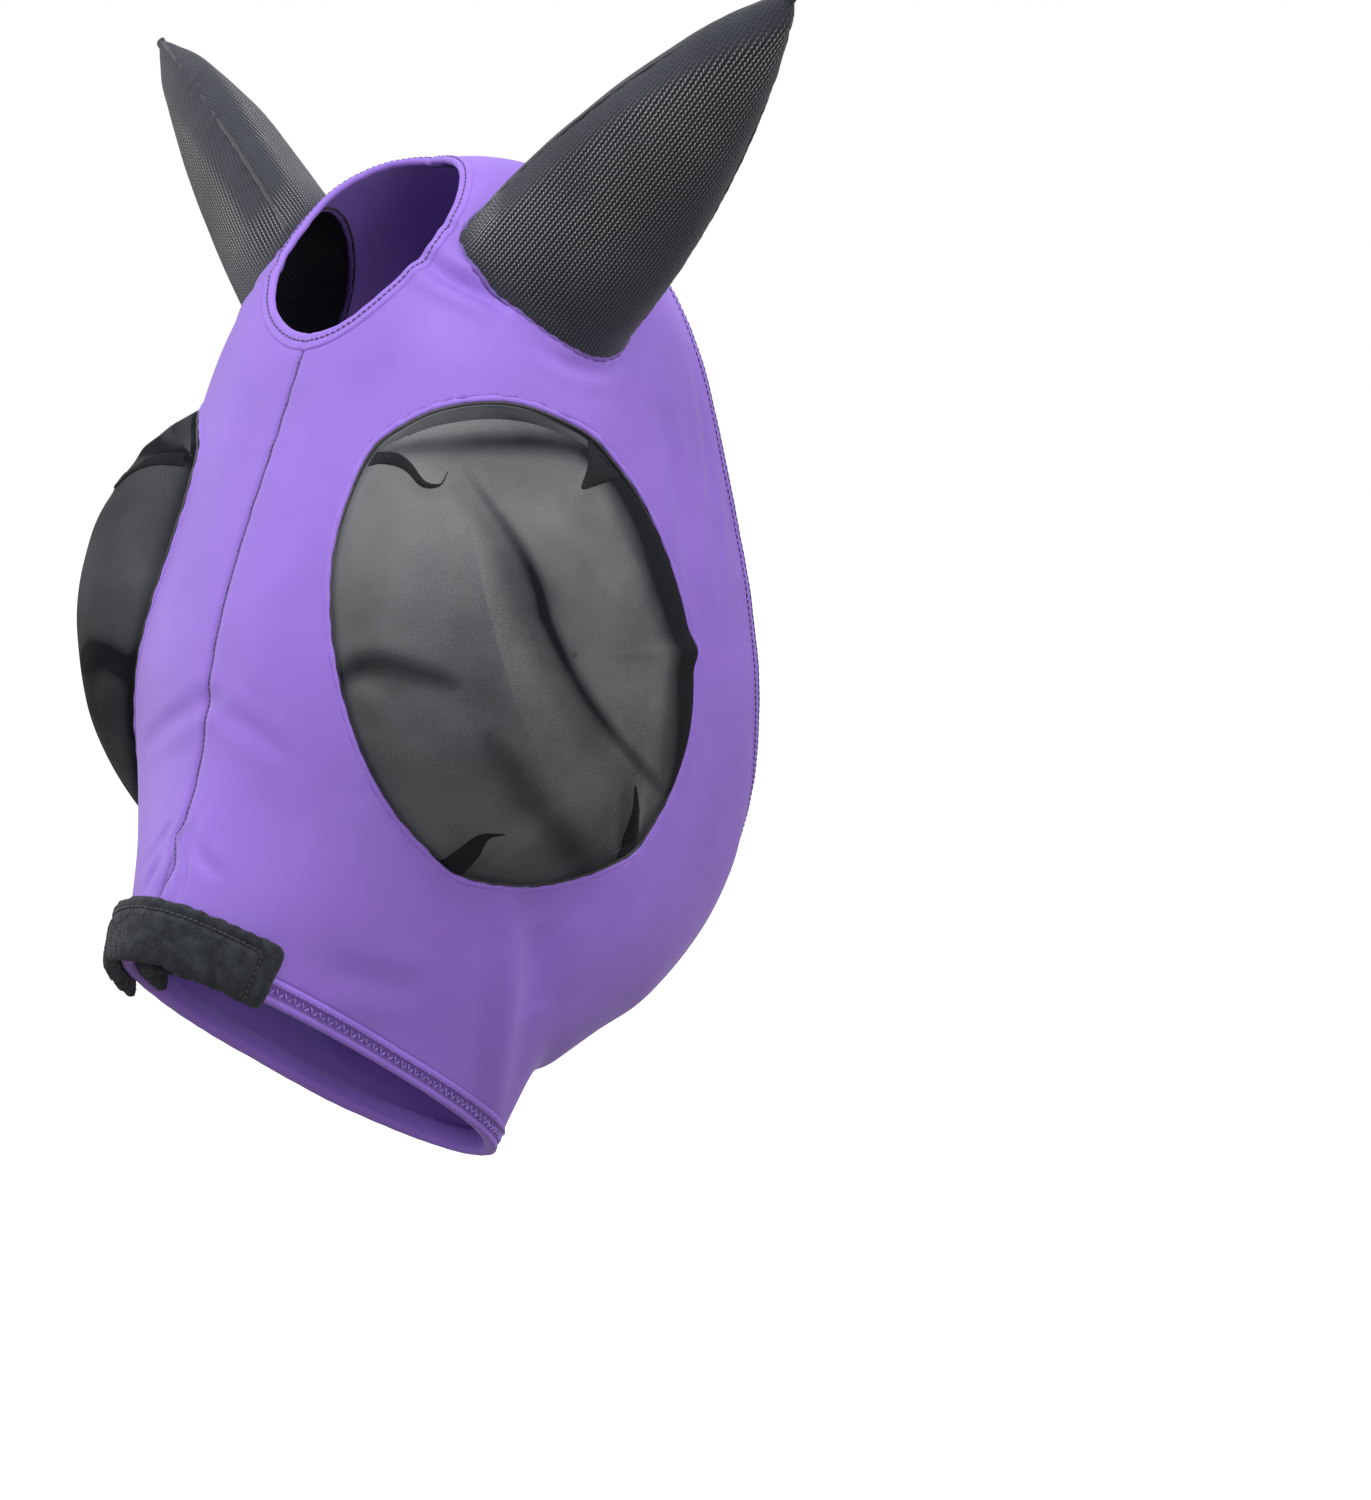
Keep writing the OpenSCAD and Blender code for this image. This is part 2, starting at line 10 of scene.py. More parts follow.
import bpy
import numpy as np
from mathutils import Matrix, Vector


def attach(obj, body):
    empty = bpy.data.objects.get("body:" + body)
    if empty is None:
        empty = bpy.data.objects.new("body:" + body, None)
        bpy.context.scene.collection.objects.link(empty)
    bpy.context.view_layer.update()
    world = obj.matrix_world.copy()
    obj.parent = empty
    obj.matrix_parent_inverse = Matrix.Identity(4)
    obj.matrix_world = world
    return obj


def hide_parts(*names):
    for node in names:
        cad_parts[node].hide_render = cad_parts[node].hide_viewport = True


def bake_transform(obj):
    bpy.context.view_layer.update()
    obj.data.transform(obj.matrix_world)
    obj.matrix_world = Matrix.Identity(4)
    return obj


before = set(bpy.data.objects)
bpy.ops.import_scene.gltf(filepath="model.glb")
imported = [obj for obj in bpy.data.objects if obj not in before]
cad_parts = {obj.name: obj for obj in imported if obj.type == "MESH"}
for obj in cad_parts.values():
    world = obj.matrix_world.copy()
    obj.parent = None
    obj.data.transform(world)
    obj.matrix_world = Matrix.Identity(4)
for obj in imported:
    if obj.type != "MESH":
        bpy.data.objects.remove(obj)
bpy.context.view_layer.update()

MM = 0.001
SIDES = ((1, "left"), (-1, "right"))

# ---------------------------------------------------------------- sizes

STATIONS = np.array([
    [-78, -30, -168, -340, 86, 0.50, 3.6, 2.2],
    [-34, 0, -158, -366, 95, 0.46, 3.0, 2.2],
    [20, -5, -138, -388, 101, 0.42, 2.6, 2.2],
    [68, -55, -112, -404, 104, 0.39, 2.7, 2.2],
    [104, -130, -86, -414, 102, 0.39, 2.8, 2.1],
    [140, -210, -62, -425, 90, 0.40, 2.7, 2.0],
    [155, -283, -42, -432, 77, 0.41, 2.3, 2.0],
    [191, -356, -28, -466, 44, 0.52, 2.1, 2.1],
])
FABRIC = 1.6
JERSEY = 1.2
STEP_T = 0.002
STEP_P = 0.2

HEM_WIDTH = 11.0
FORELOCK_PLACE = 0.36
FORELOCK_HALF_LENGTH = 0.12
FORELOCK_HALF_ANGLE = 24.5
FORELOCK_HEM = 6.0
FORELOCK_RADIUS = 50

EYE_WIDTH = 152.0
EYE_HEIGHT = 222.0
EYE_DOME = 46.0
EYE_ROUNDNESS = 2.1
EYE_AZIMUTH = math.radians(40)
EYE_TILT = math.radians(13)
EYE_ASIDE = 40.0
EYE_DROP = 221.0
RIM_SHARE = 0.995

EAR_PLACE = (0.291, 48.3)
EAR_AIM = np.array([113.0, 22.0, 115.0])
EAR_LENGTH = 170.0
EAR_HALF_WIDTH = 44.5
EAR_HALF_DEPTH = 30.3

PAD_HALF_ANGLE = 50.0
PAD_BELOW = 5.5
PAD_ABOVE = 27.0
PAD_LAYER = 8.0
PAD_SHRINK = 0.9
PAD_SWELL = 2.0
PAD_VOXEL = 3.0


# ---------------------------------------------------------------- small maths

def unit(v):
    return v / np.linalg.norm(v, axis=-1, keepdims=True)


def smooth(low, high, x):
    k = np.clip((x - low) / (high - low), 0, 1)
    return k * k * (3 - 2 * k)


def bell(x, width, power=2):
    """1 at zero, falling away over a width."""
    return np.exp(-(x / width) ** power)


def full_turn(count):
    return np.linspace(0, 2 * np.pi, count, endpoint=False)


def soft_noise(points, size, seed):
    """Smooth noise from -1 to 1 whose bumps are about one size apart."""
    table = np.random.default_rng(seed).uniform(-1, 1, 4096)
    q = np.asarray(points) / size
    cell = np.floor(q).astype(np.int64)
    f = q - cell
    f = f * f * (3 - 2 * f)
    total = np.zeros(q.shape[:-1])
    for corner in itertools.product((0, 1), repeat=3):
        c = cell + np.array(corner)
        key = (c[..., 0] * 73856093) ^ (c[..., 1] * 19349663) ^ (c[..., 2] * 83492791)
        wx, wy, wz = (f[..., k] if near else 1 - f[..., k] for k, near in enumerate(corner))
        total += table[key & 4095] * wx * wy * wz
    return total


# ---------------------------------------------------------------- the hood's form

def rounded_step(p0, p1, p2, p3, f):
    """Share f of the way from p1 to p2 on a rounded line through all four."""
    bend = 2 * p0 - 5 * p1 + 4 * p2 - p3
    return 0.5 * (2 * p1 + (p2 - p0) * f + bend * f ** 2 + (3 * p1 - p0 - 3 * p2 + p3) * f ** 3)


def station(t):
    """The hood's section at t: its top and bottom points, half width, waist and two roundnesses."""
    last = len(STATIONS) - 1
    u = np.asarray(t, float) * last
    i = np.clip(np.floor(u).astype(int), 0, last - 1)
    f = (u - i)[..., None]
    p1 = STATIONS[i]
    p2 = STATIONS[i + 1]
    p0 = np.where((i == 0)[..., None], 2 * p1 - p2, STATIONS[np.maximum(i - 1, 0)])
    p3 = np.where((i + 2 > last)[..., None], 2 * p2 - p1, STATIONS[np.minimum(i + 2, last)])
    return rounded_step(p0, p1, p2, p3, f)


def skin(t, p):
    """Inner face of the hood: t runs from the neck (0) to the nose (1), p is the angle round it."""
    t, p = np.broadcast_arrays(np.asarray(t, float), np.asarray(p, float))
    r = station(t)
    s = np.sin(np.radians(p))
    c = np.cos(np.radians(p))
    n = np.where(c >= 0, r[..., 6], r[..., 7])
    q = (np.abs(s) ** n + np.abs(c) ** n) ** (-1 / n)
    h = np.where(c >= 0, r[..., 5] * (1 - q * c), r[..., 5] - (1 - r[..., 5]) * q * c)
    forward = r[..., 0] + (r[..., 2] - r[..., 0]) * h
    up = r[..., 1] + (r[..., 3] - r[..., 1]) * h
    return np.stack([r[..., 4] * q * s, -forward, up], -1)


def steps(f, t, p):
    """How much f changes over two small steps along the hood, and over two round it."""
    return f(t + STEP_T, p) - f(t - STEP_T, p), f(t, p + STEP_P) - f(t, p - STEP_P)


def outward(t, p):
    return unit(np.cross(*steps(skin, t, p)))


def end_speed(end, p):
    return np.linalg.norm(skin(end + STEP_T, p) - skin(end - STEP_T, p), axis=-1) / STEP_T / 2


def end_t(end, p, d):
    """Place along the hood at a distance d in from its neck (0) or nose (1) edge."""
    return d / end_speed(0, p) if end == 0 else 1 - d / end_speed(1, p)


class Port:
    """An opening with its own axis: a centre, two directions across it, and the axis."""

    def __init__(self, centre, m1, m2, axis, start):
        self.centre, self.m1, self.m2, self.axis = centre, m1, m2, axis
        self.start = self.find(np.zeros(2), np.array(start, float), 6)

    def uv(self, point):
        d = point - self.centre
        return np.stack([d @ self.m1, d @ self.m2], -1)

    def find(self, goal, tp, turns):
        for _ in range(turns):
            t, p = tp[..., 0], tp[..., 1]
            here = self.uv(skin(t, p))
            dt = (self.uv(skin(t + STEP_T, p)) - here) / STEP_T
            dp = (self.uv(skin(t, p + STEP_P)) - here) / STEP_P
            miss = goal - here
            det = dt[..., 0] * dp[..., 1] - dt[..., 1] * dp[..., 0]
            step_t = (miss[..., 0] * dp[..., 1] - miss[..., 1] * dp[..., 0]) / det
            step_p = (dt[..., 0] * miss[..., 1] - dt[..., 1] * miss[..., 0]) / det
            tp = np.stack([t + step_t, p + step_p], -1)
        return tp

    def place(self, goal, hops=5):
        goal = np.asarray(goal, float)
        tp = np.broadcast_to(self.start, goal.shape).copy()
        for k in range(1, hops + 1):
            tp = self.find(goal * k / hops, tp, 3)
        return tp


def eye_port():
    across = np.array([math.cos(EYE_AZIMUTH), math.sin(EYE_AZIMUTH), 0])
    axis = np.array([math.sin(EYE_AZIMUTH), -math.cos(EYE_AZIMUTH), 0])
    up = np.array([0, 0, 1.0])
    m1 = across * math.cos(EYE_TILT) + up * math.sin(EYE_TILT)
    m2 = -across * math.sin(EYE_TILT) + up * math.cos(EYE_TILT)
    return Port(across * EYE_ASIDE - up * EYE_DROP, m1, m2, axis, (0.55, 76))


def ear_port():
    centre = skin(*EAR_PLACE)
    axis = unit(EAR_AIM)
    across = np.array([math.cos(EYE_AZIMUTH), math.sin(EYE_AZIMUTH), 0])
    across = unit(across - axis * (across @ axis))
    return Port(centre, across, np.cross(axis, across), axis, EAR_PLACE)


EYE = eye_port()
EAR = ear_port()


# Corners that the darts pull in an eye opening's edge: angle in degrees, half width, share
EYE_CORNERS = [(120, 9, 0.020), (46, 8, 0.022), (30, 9, 0.012), (-11, 3.5, 0.045), (-67, 8, 0.020),
               (-127, 8, 0.022), (-95, 16, -0.012), (85, 14, -0.008), (175, 22, -0.010)]


def corner_share(a):
    """How far the darts' corners push the edge of an eye opening out, as a factor."""
    share = np.ones(np.shape(a))
    for angle, width, rise in EYE_CORNERS:
        off = (np.degrees(a) - angle + 180) % 360 - 180
        share = share + rise * bell(off, width)
    return share


def oval(a, w, h):
    c = np.cos(a)
    s = np.sin(a)
    q = (np.abs(c) ** EYE_ROUNDNESS + np.abs(s) ** EYE_ROUNDNESS) ** (-1 / EYE_ROUNDNESS)
    q = q * corner_share(a)
    return np.stack([w / 2 * q * c, h / 2 * q * s], -1)


def oval_share(uv):
    """0 in the middle of the eye opening, 1 on its edge."""
    a = uv[..., 0] / (EYE_WIDTH / 2)
    b = uv[..., 1] / (EYE_HEIGHT / 2)
    plain = (np.abs(a) ** EYE_ROUNDNESS + np.abs(b) ** EYE_ROUNDNESS) ** (1 / EYE_ROUNDNESS)
    return plain / corner_share(np.arctan2(b, a))


def eye_distance(t, p):
    """Roughly how far a place on the hood lies outside the eye opening."""
    p = np.abs(p)
    uv = EYE.uv(skin(t, p))
    facing = outward(t, p) @ EYE.axis
    d = (oval_share(uv) - 1) * np.linalg.norm(uv, axis=-1) / np.maximum(oval_share(uv), 0.05)
    return np.where(facing > 0.1, d, 90.0)


def ear_distance(t, p):
    p = np.abs(p)
    uv = EAR.uv(skin(t, p))
    facing = outward(t, p) @ EAR.axis
    r = np.hypot(uv[..., 0] / EAR_HALF_WIDTH, uv[..., 1] / EAR_HALF_DEPTH)
    d = (r - 1) * np.linalg.norm(uv, axis=-1) / np.maximum(r, 0.05)
    return np.where(facing > 0.1, d, 90.0)


def forelock_distance(t, p):
    r = np.hypot((t - FORELOCK_PLACE) / FORELOCK_HALF_LENGTH, p / FORELOCK_HALF_ANGLE)
    return (r - 1) * FORELOCK_RADIUS


# ---------------------------------------------------------------- folds and creases of the cloth

# Each crease: places (t, p) along it, half width, depth (a ridge is negative), side (0 both)
CREASES = [
    ([(0.392, 23), (0.400, 30), (0.398, 36), (0.391, 41), (0.388, 46)], 4.4, 4.6, 1),
    ([(0.396, 24), (0.402, 33), (0.394, 44)], 3.8, 3.0, -1),
    ([(0.352, 24), (0.356, 29), (0.362, 33)], 2.6, 1.6, 1),
    ([(0.385, 52), (0.370, 57), (0.340, 62), (0.300, 65), (0.262, 65)], 3.2, 1.6, 0),
    ([(0.745, 98), (0.782, 104), (0.853, 114), (0.916, 123), (0.972, 137)], 8.0, -2.6, 1),
    ([(0.735, 97), (0.790, 105), (0.870, 115), (0.950, 132)], 8.5, -2.2, -1),
    ([(0.739, 112), (0.780, 118), (0.835, 126)], 13.0, 2.4, 0),
    ([(0.057, 59), (0.095, 73), (0.143, 89), (0.191, 100)], 4.5, 1.3, 0),
    ([(0.218, 71), (0.224, 79), (0.238, 90), (0.262, 101)], 6.0, 1.1, 1),
    ([(0.230, 72), (0.236, 84), (0.250, 97)], 6.5, 1.2, -1),
    ([(0.772, -8), (0.795, 12), (0.816, 32)], 4.5, 0.8, 0),
    ([(0.890, 4), (0.912, 12), (0.925, 24)], 3.0, 1.2, 0),
    ([(0.955, 62), (0.940, 76), (0.922, 91)], 7.0, 1.0, 0),
    ([(0.906, 5), (0.930, 9), (0.950, 12)], 2.2, 1.0, 0),
]


def nearest_on(points, line):
    """Distance from each point to a line of points, and how far along it (0 to 1) it is met."""
    flat = points.reshape(-1, points.shape[-1])
    best = np.full(len(flat), 1e9)
    where = np.zeros(len(flat))
    for i in range(len(line) - 1):
        step = line[i + 1] - line[i]
        k = np.clip((flat - line[i]) @ step / (step @ step), 0, 1)
        d = np.linalg.norm(flat - line[i] - k[:, None] * step, axis=1)
        closer = d < best
        best[closer] = d[closer]
        where[closer] = (i + k[closer]) / (len(line) - 1)
    return best.reshape(points.shape[:-1]), where.reshape(points.shape[:-1])


def smooth_path(places, count):
    """A rounded path through a few given places."""
    places = np.array(places, float)
    x = np.linspace(0, len(places) - 1, count)
    i = np.clip(np.floor(x).astype(int), 0, len(places) - 2)
    f = (x - i)[:, None]
    before = places[np.maximum(i - 1, 0)]
    after = places[np.minimum(i + 2, len(places) - 1)]
    return rounded_step(before, places[i], places[i + 1], after, f)


def crease_height(distance, along, width, depth):
    fade = np.sin(np.pi * np.clip(along, 0.001, 0.999)) ** 0.6
    valley = bell(distance, width)
    lip = 0.45 * bell(distance - 1.9 * width, width)
    return depth * fade * (lip - valley)


def relief(t, p):
    """Height of the cloth above its plain form: seam grooves, puckers, creases, soft unevenness."""
    t, p = np.broadcast_arrays(np.asarray(t, float), np.asarray(p, float))
    base = skin(t, p)
    aside = np.abs(base[..., 0])
    wave = soft_noise(base, 30, 3)
    height = 1.1 * soft_noise(base, 70, 1) + 0.35 * soft_noise(base, 24, 2)
    height = height - 0.9 * bell(aside, 1.7)
    patchy = 0.55 + 0.45 * soft_noise(base, 38, 5)
    height += 0.34 * patchy * np.sin(t * 440 / 1.9 + 3 * wave) * np.exp(-aside / 7)
    for port, port_distance, rise, ripples, drift, reach in (
            (EYE, eye_distance, 0.24, 34, 4, 7), (EAR, ear_distance, 0.22, 17, 5, 9)):
        uv = port.uv(skin(t, np.abs(p)))
        around = np.arctan2(uv[..., 1], uv[..., 0])
        away = np.maximum(port_distance(t, p), 0)
        height += rise * patchy * np.sin(around * ripples + drift * wave) * np.exp(-away / reach)
    to_neck = t * end_speed(0, p)
    to_nose = (1 - t) * end_speed(1, p)
    round_ripple = np.sin(np.radians(p) * 48 + 5 * wave)
    height += 0.22 * patchy * round_ripple * (np.exp(-to_neck / 12) + np.exp(-to_nose / 12))
    for places, width, depth, side in CREASES:
        path = smooth_path(places, 24)
        for s in (1, -1):
            if side in (0, s):
                line = skin(path[:, 0], path[:, 1] * s)
                distance, along = nearest_on(base, line)
                height += crease_height(distance, along, width, depth)
    return height


def seam_wander(t, p):
    """Angle round the hood with the face seam's small wander near the nose added."""
    wander = 2.0 * bell(t - 0.927, 0.011) - 2.6 * bell(t - 0.899, 0.010)
    return p + wander * bell(p, 9.0)


def cloth_point(t, p, n):
    """Point at height n above the inner face, on the cloth with its folds."""
    at = seam_wander(t, p)
    return skin(t, at) + outward(t, at) * (np.asarray(n) + relief(t, p))[..., None]


# ---------------------------------------------------------------- mesh tools

def grid_faces(rows, cols, closed_rows=False, closed_cols=False):
    i = np.arange(rows if closed_rows else rows - 1)[:, None]
    j = np.arange(cols if closed_cols else cols - 1)[None, :]
    i2 = (i + 1) % rows
    j2 = (j + 1) % cols
    quads = np.stack([i * cols + j, i * cols + j2, i2 * cols + j2, i2 * cols + j], -1)
    return quads.reshape(-1, 4)


def flipped(faces):
    return [list(f)[::-1] for f in faces]


def add_object(name, data):
    made = bpy.data.objects.new(name, data)
    bpy.context.scene.collection.objects.link(made)
    return made


def mirrored(points, side):
    return points * np.array([side, 1, 1])


def make_piece(name, points, faces, material, slot, node=None, side=0, swept=False, body="hood",
               uv=None, shade=None):
    """A mesh object from points in millimetres, riding on one body and standing for one CAD node.

    With a side, the points are the left side's. Swept faces wind the other way from a grid's.
    """
    if side:
        points = mirrored(points, side)
        faces = flipped(faces) if (side > 0) != swept else faces
    mesh = bpy.data.meshes.new(name)
    mesh.from_pydata((np.asarray(points).reshape(-1, 3) * MM).tolist(), [], [list(f) for f in faces])
    mesh.update()
    mesh.shade_smooth()
    if uv is not None:
        corners = np.zeros(len(mesh.loops), np.int32)
        mesh.loops.foreach_get("vertex_index", corners)
        layer = mesh.uv_layers.new(name="Weave")
        layer.data.foreach_set("uv", np.asarray(uv, np.float32).reshape(-1, 2)[corners].ravel())
    if shade is not None:
        values = mesh.attributes.new("shade", "FLOAT", "POINT")
        values.data.foreach_set("value", np.asarray(shade, np.float32).ravel())
    piece = add_object(name, mesh)
    piece.data.materials.append(MATERIALS[material])
    if body:
        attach(piece, body)
    if node:
        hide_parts(node)
    return piece


def thicken(piece, thickness, offset=-1.0):
    solid = piece.modifiers.new("Thickness", "SOLIDIFY")
    solid.thickness = thickness * MM
    solid.offset = offset
    solid.use_even_offset = False


def sweep(path, ups, section, closed=True):
    """Points of a section swept along a path: (aside, up) pairs at each path point."""
    if closed:
        ahead = np.roll(path, -1, 0) - np.roll(path, 1, 0)
    else:
        ahead = np.gradient(path, axis=0)
    side = unit(np.cross(ups, ahead))
    return path[:, None] + side[:, None] * section[..., :1] + ups[:, None] * section[..., 1:]


def round_section(width, height, count):
    a = full_turn(count)
    return np.stack([width / 2 * np.cos(a), height / 2 * np.sin(a)], -1)


def stitch_points(starts, ends, ups, radius, lift):
    """One short arched thread from each start to each end."""
    rings, sides = 6, 6
    s = np.linspace(0, 1, rings)
    a = full_turn(sides)
    run = ends - starts
    side = unit(np.cross(ups, run))
    up = unit(np.cross(run, side))
    arch = np.sin(np.pi * s) ** 0.5 * lift
    girth = radius * (0.35 + 0.65 * np.sin(np.pi * s) ** 0.5)
    middle = starts[:, None] + run[:, None] * s[None, :, None] + ups[:, None] * arch[None, :, None]
    ring_side = side[:, None, None] * np.cos(a)[None, None, :, None]
    ring_up = up[:, None, None] * np.sin(a)[None, None, :, None]
    points = middle[:, :, None] + (ring_side + ring_up) * girth[None, :, None, None]
    faces = grid_faces(rings, sides, False, True)
    total = np.arange(len(starts))[:, None, None] * rings * sides + faces[None]
    return points.reshape(-1, 3), total.reshape(-1, 4)


def resample(path, spacing, closed):
    """Evenly spaced points along a path."""
    path = np.asarray(path)
    if closed:
        path = np.vstack([path, path[:1]])
    length = np.concatenate([[0], np.cumsum(np.linalg.norm(np.diff(path, axis=0), axis=1))])
    count = max(2, int(round(length[-1] / spacing)))
    x = np.linspace(0, length[-1], count + 1)
    return np.stack([np.interp(x, length, path[:, k]) for k in range(path.shape[1])], -1)


def stitch_row(lines, ups, pitch, closed, radius=0.34, zigzag=0.0, fill=0.78):
    """Starts, ends and ups for a row of stitches along a path; zigzag is its half width."""
    both = resample(np.hstack([lines, ups]), pitch, closed)
    points, up = both[:, :3], unit(both[:, 3:])
    ahead = np.gradient(points, axis=0)
    side = unit(np.cross(up, ahead))
    flip = np.where(np.arange(len(points)) % 2, 1.0, -1.0)[:, None]
    nodes = points + side * flip * zigzag
    starts = nodes[:-1]
    ends = starts + (nodes[1:] - starts) * fill
    return stitch_points(starts, ends, up[:-1], radius, radius * 0.9)


def join_parts(parts):
    points, faces, base = [], [], 0
    for p, f in parts:
        points.append(p)
        faces.extend((np.asarray(f) + base).tolist())
        base += len(p)
    return np.vstack(points), faces


# ---------------------------------------------------------------- materials

def new_material(name, color, roughness, **inputs):
    material = bpy.data.materials.new(name)
    material.use_nodes = True
    bsdf = material.node_tree.nodes["Principled BSDF"]
    bsdf.inputs["Base Color"].default_value = (*color, 1)
    bsdf.inputs["Roughness"].default_value = roughness
    for key, value in inputs.items():
        bsdf.inputs[key.replace("_", " ")].default_value = value
    return material, material.node_tree, bsdf


def add_node(tree, kind, links=(), **settings):
    """A node with its settings; links are (own socket, other node's output) pairs."""
    node = tree.nodes.new(kind)
    for key, value in settings.items():
        if hasattr(node, key):
            setattr(node, key, value)
        else:
            node.inputs[key].default_value = value
    for socket, source in links:
        tree.links.new(source, node.inputs[socket])
    return node


def math_node(tree, operation, a, b=0.0, clamp=False):
    node = tree.nodes.new("ShaderNodeMath")
    node.operation = operation
    node.use_clamp = clamp
    for socket, value in zip(node.inputs, (a, b)):
        if isinstance(value, (int, float)):
            socket.default_value = value
        else:
            tree.links.new(value, socket)
    return node.outputs[0]


def arithmetic(tree):
    """Multiply, add, subtract, sine and greater-than for one node tree."""
    names = "MULTIPLY", "ADD", "SUBTRACT", "SINE", "GREATER_THAN"
    return [partial(math_node, tree, name) for name in names]


def noise_output(tree, scale, detail=3.0, seed=0.0):
    coords = add_node(tree, "ShaderNodeTexCoord").outputs["Object"]
    noise = add_node(tree, "ShaderNodeTexNoise", [("Vector", coords)], noise_dimensions="4D",
                     Scale=scale, Detail=detail, W=seed)
    return noise.outputs["Fac"]


def ramp_output(tree, factor, stops):
    ramp = tree.nodes.new("ShaderNodeValToRGB")
    tree.links.new(factor, ramp.inputs["Fac"])
    elements = ramp.color_ramp.elements
    while len(elements) < len(stops):
        elements.new(0.5)
    for element, (place, color) in zip(elements, stops):
        element.position = place
        element.color = (*color, 1)
    return ramp.outputs["Color"]


def add_bump(tree, bsdf, height, strength, distance, below=None):
    bump = add_node(tree, "ShaderNodeBump", [("Height", height)], Strength=strength, Distance=distance)
    if below is not None:
        tree.links.new(below, bump.inputs["Normal"])
    tree.links.new(bump.outputs["Normal"], bsdf.inputs["Normal"])
    return bump.outputs["Normal"]


def shade_attribute(tree):
    return add_node(tree, "ShaderNodeAttribute", attribute_name="shade").outputs["Fac"]


def ramp_color(tree, bsdf, factor, stops):
    tree.links.new(ramp_output(tree, factor, stops), bsdf.inputs["Base Color"])


def scaled(color, k):
    return tuple(c * k for c in color)


def lycra(name, color):
    """Stretch knit: very fine ribs, soft sheen, slight colour change where it is stretched."""
    material, tree, bsdf = new_material(
        name, color, 0.58, Sheen_Weight=0.22, Sheen_Roughness=0.4,
        Sheen_Tint=(0.80, 0.66, 1.0, 1), Specular_IOR_Level=0.3)
    broad = noise_output(tree, 16, 4)
    base = ramp_output(tree, broad, [(0.3, scaled(color, 0.90)), (0.7, scaled(color, 1.08))])
    # Painted shade: where a piece's shade attribute is set, the purple is mixed towards a darker copy of
    # itself, in the centre seam grooves, the nose hem's channel and under the ears' feet.
    darker = add_node(tree, "ShaderNodeMix", [(0, shade_attribute(tree)), (6, base)], data_type="RGBA",
                      blend_type="MIX")
    darker.inputs[7].default_value = (*scaled(color, 0.35), 1)
    tree.links.new(darker.outputs[2], bsdf.inputs["Base Color"])
    coarse = add_bump(tree, bsdf, noise_output(tree, 260, 3, 2.0), 0.10, 0.0006)
    add_bump(tree, bsdf, noise_output(tree, 1500, 2), 0.22, 0.0003, coarse)
    return material


def weave_coords(tree):
    uv = add_node(tree, "ShaderNodeUVMap", uv_map="Weave").outputs["UV"]
    parts = add_node(tree, "ShaderNodeSeparateXYZ", [("Vector", uv)])
    return parts.outputs["X"], parts.outputs["Y"]


def ear_mesh_material():
    """Ribbed warp knit: wavy ribs along the ear, broken into short slanted dashes, with painted highlights
    on the rib crests.
    """
    rib_pitch, dash_pitch = 2.0, 1.9
    material, tree, bsdf = new_material(
        "ear_mesh_black", (0.022, 0.023, 0.027), 0.7, Sheen_Weight=0.12, Sheen_Roughness=0.5,
        Specular_IOR_Level=0.25)
    times, plus, minus, sine, over = arithmetic(tree)
    u, v = weave_coords(tree)
    along = times(v, 2 * math.pi / dash_pitch)
    turn = plus(times(u, 2 * math.pi / rib_pitch), times(sine(along), 0.6))
    rib = sine(turn)
    crest = math_node(tree, "POWER", math_node(tree, "MAXIMUM", rib, 0.0), 1.6)
    slant = sine(plus(along, times(turn, 0.5)))
    light = times(crest, plus(times(slant, 0.28), 0.72))
    shade = shade_attribute(tree)
    # Painted highlight on the rib crests, up to the ramp's light grey top stop. The shade attribute takes it
    # away, for the doubled front strip and as painted shade, and gives a flat dark navy tone instead.
    lit = times(light, minus(1.0, shade, clamp=True))
    tone = times(plus(lit, times(shade, 0.13)), plus(noise_output(tree, 22, 3, 1.0), 0.5))
    ramp_color(tree, bsdf, tone, [
        (0.0, (0.010, 0.010, 0.012)), (0.14, (0.027, 0.030, 0.041)), (0.4, (0.085, 0.086, 0.094)),
        (1.0, (0.46, 0.46, 0.47))])
    add_bump(tree, bsdf, light, 0.6, 0.0005)
    gap = times(over(times(rib, -1.0), 0.8), over(slant, 0.6))
    tree.links.new(minus(1.0, times(gap, 0.2)), bsdf.inputs["Alpha"])
    return material


def eye_mesh_material():
    """Fine matt see-through net of thin dark threads."""
    pitch = 1.0
    material, tree, bsdf = new_material("eye_mesh_black", (0.050, 0.051, 0.054), 0.9,
                                        Specular_IOR_Level=0.1)
    times, plus, minus, sine, over = arithmetic(tree)
    a, b = (sine(times(coordinate, 2 * math.pi / pitch)) for coordinate in weave_coords(tree))
    net = times(a, b)
    shade = shade_attribute(tree)
    # The shade attribute closes the net and darkens its tone: for doubled mesh, and as painted shade where
    # dome_shade and dome_folds paint it.
    openness = minus(0.55, shade, clamp=True)
    tree.links.new(minus(1.0, times(over(net, 0.40), openness)), bsdf.inputs["Alpha"])
    tone = minus(plus(noise_output(tree, 14, 4, 4.0), 0.2), shade)
    ramp_color(tree, bsdf, tone, [
        (0.0, (0.006, 0.007, 0.009)), (0.40, (0.064, 0.066, 0.070)), (0.85, (0.185, 0.186, 0.186))])
    add_bump(tree, bsdf, net, 0.3, 0.0002)
    return material


def eye_fold_material():
    """Doubled mesh of a dart, nearly black."""
    color = (0.011, 0.011, 0.013)
    material, tree, bsdf = new_material("eye_fold_black", color, 0.85, Specular_IOR_Level=0.12)
    fine = noise_output(tree, 900, 2, 9.0)
    ramp_color(tree, bsdf, fine, [(0.3, scaled(color, 0.7)), (0.7, scaled(color, 1.4))])
    add_bump(tree, bsdf, fine, 0.3, 0.0002)
    return material


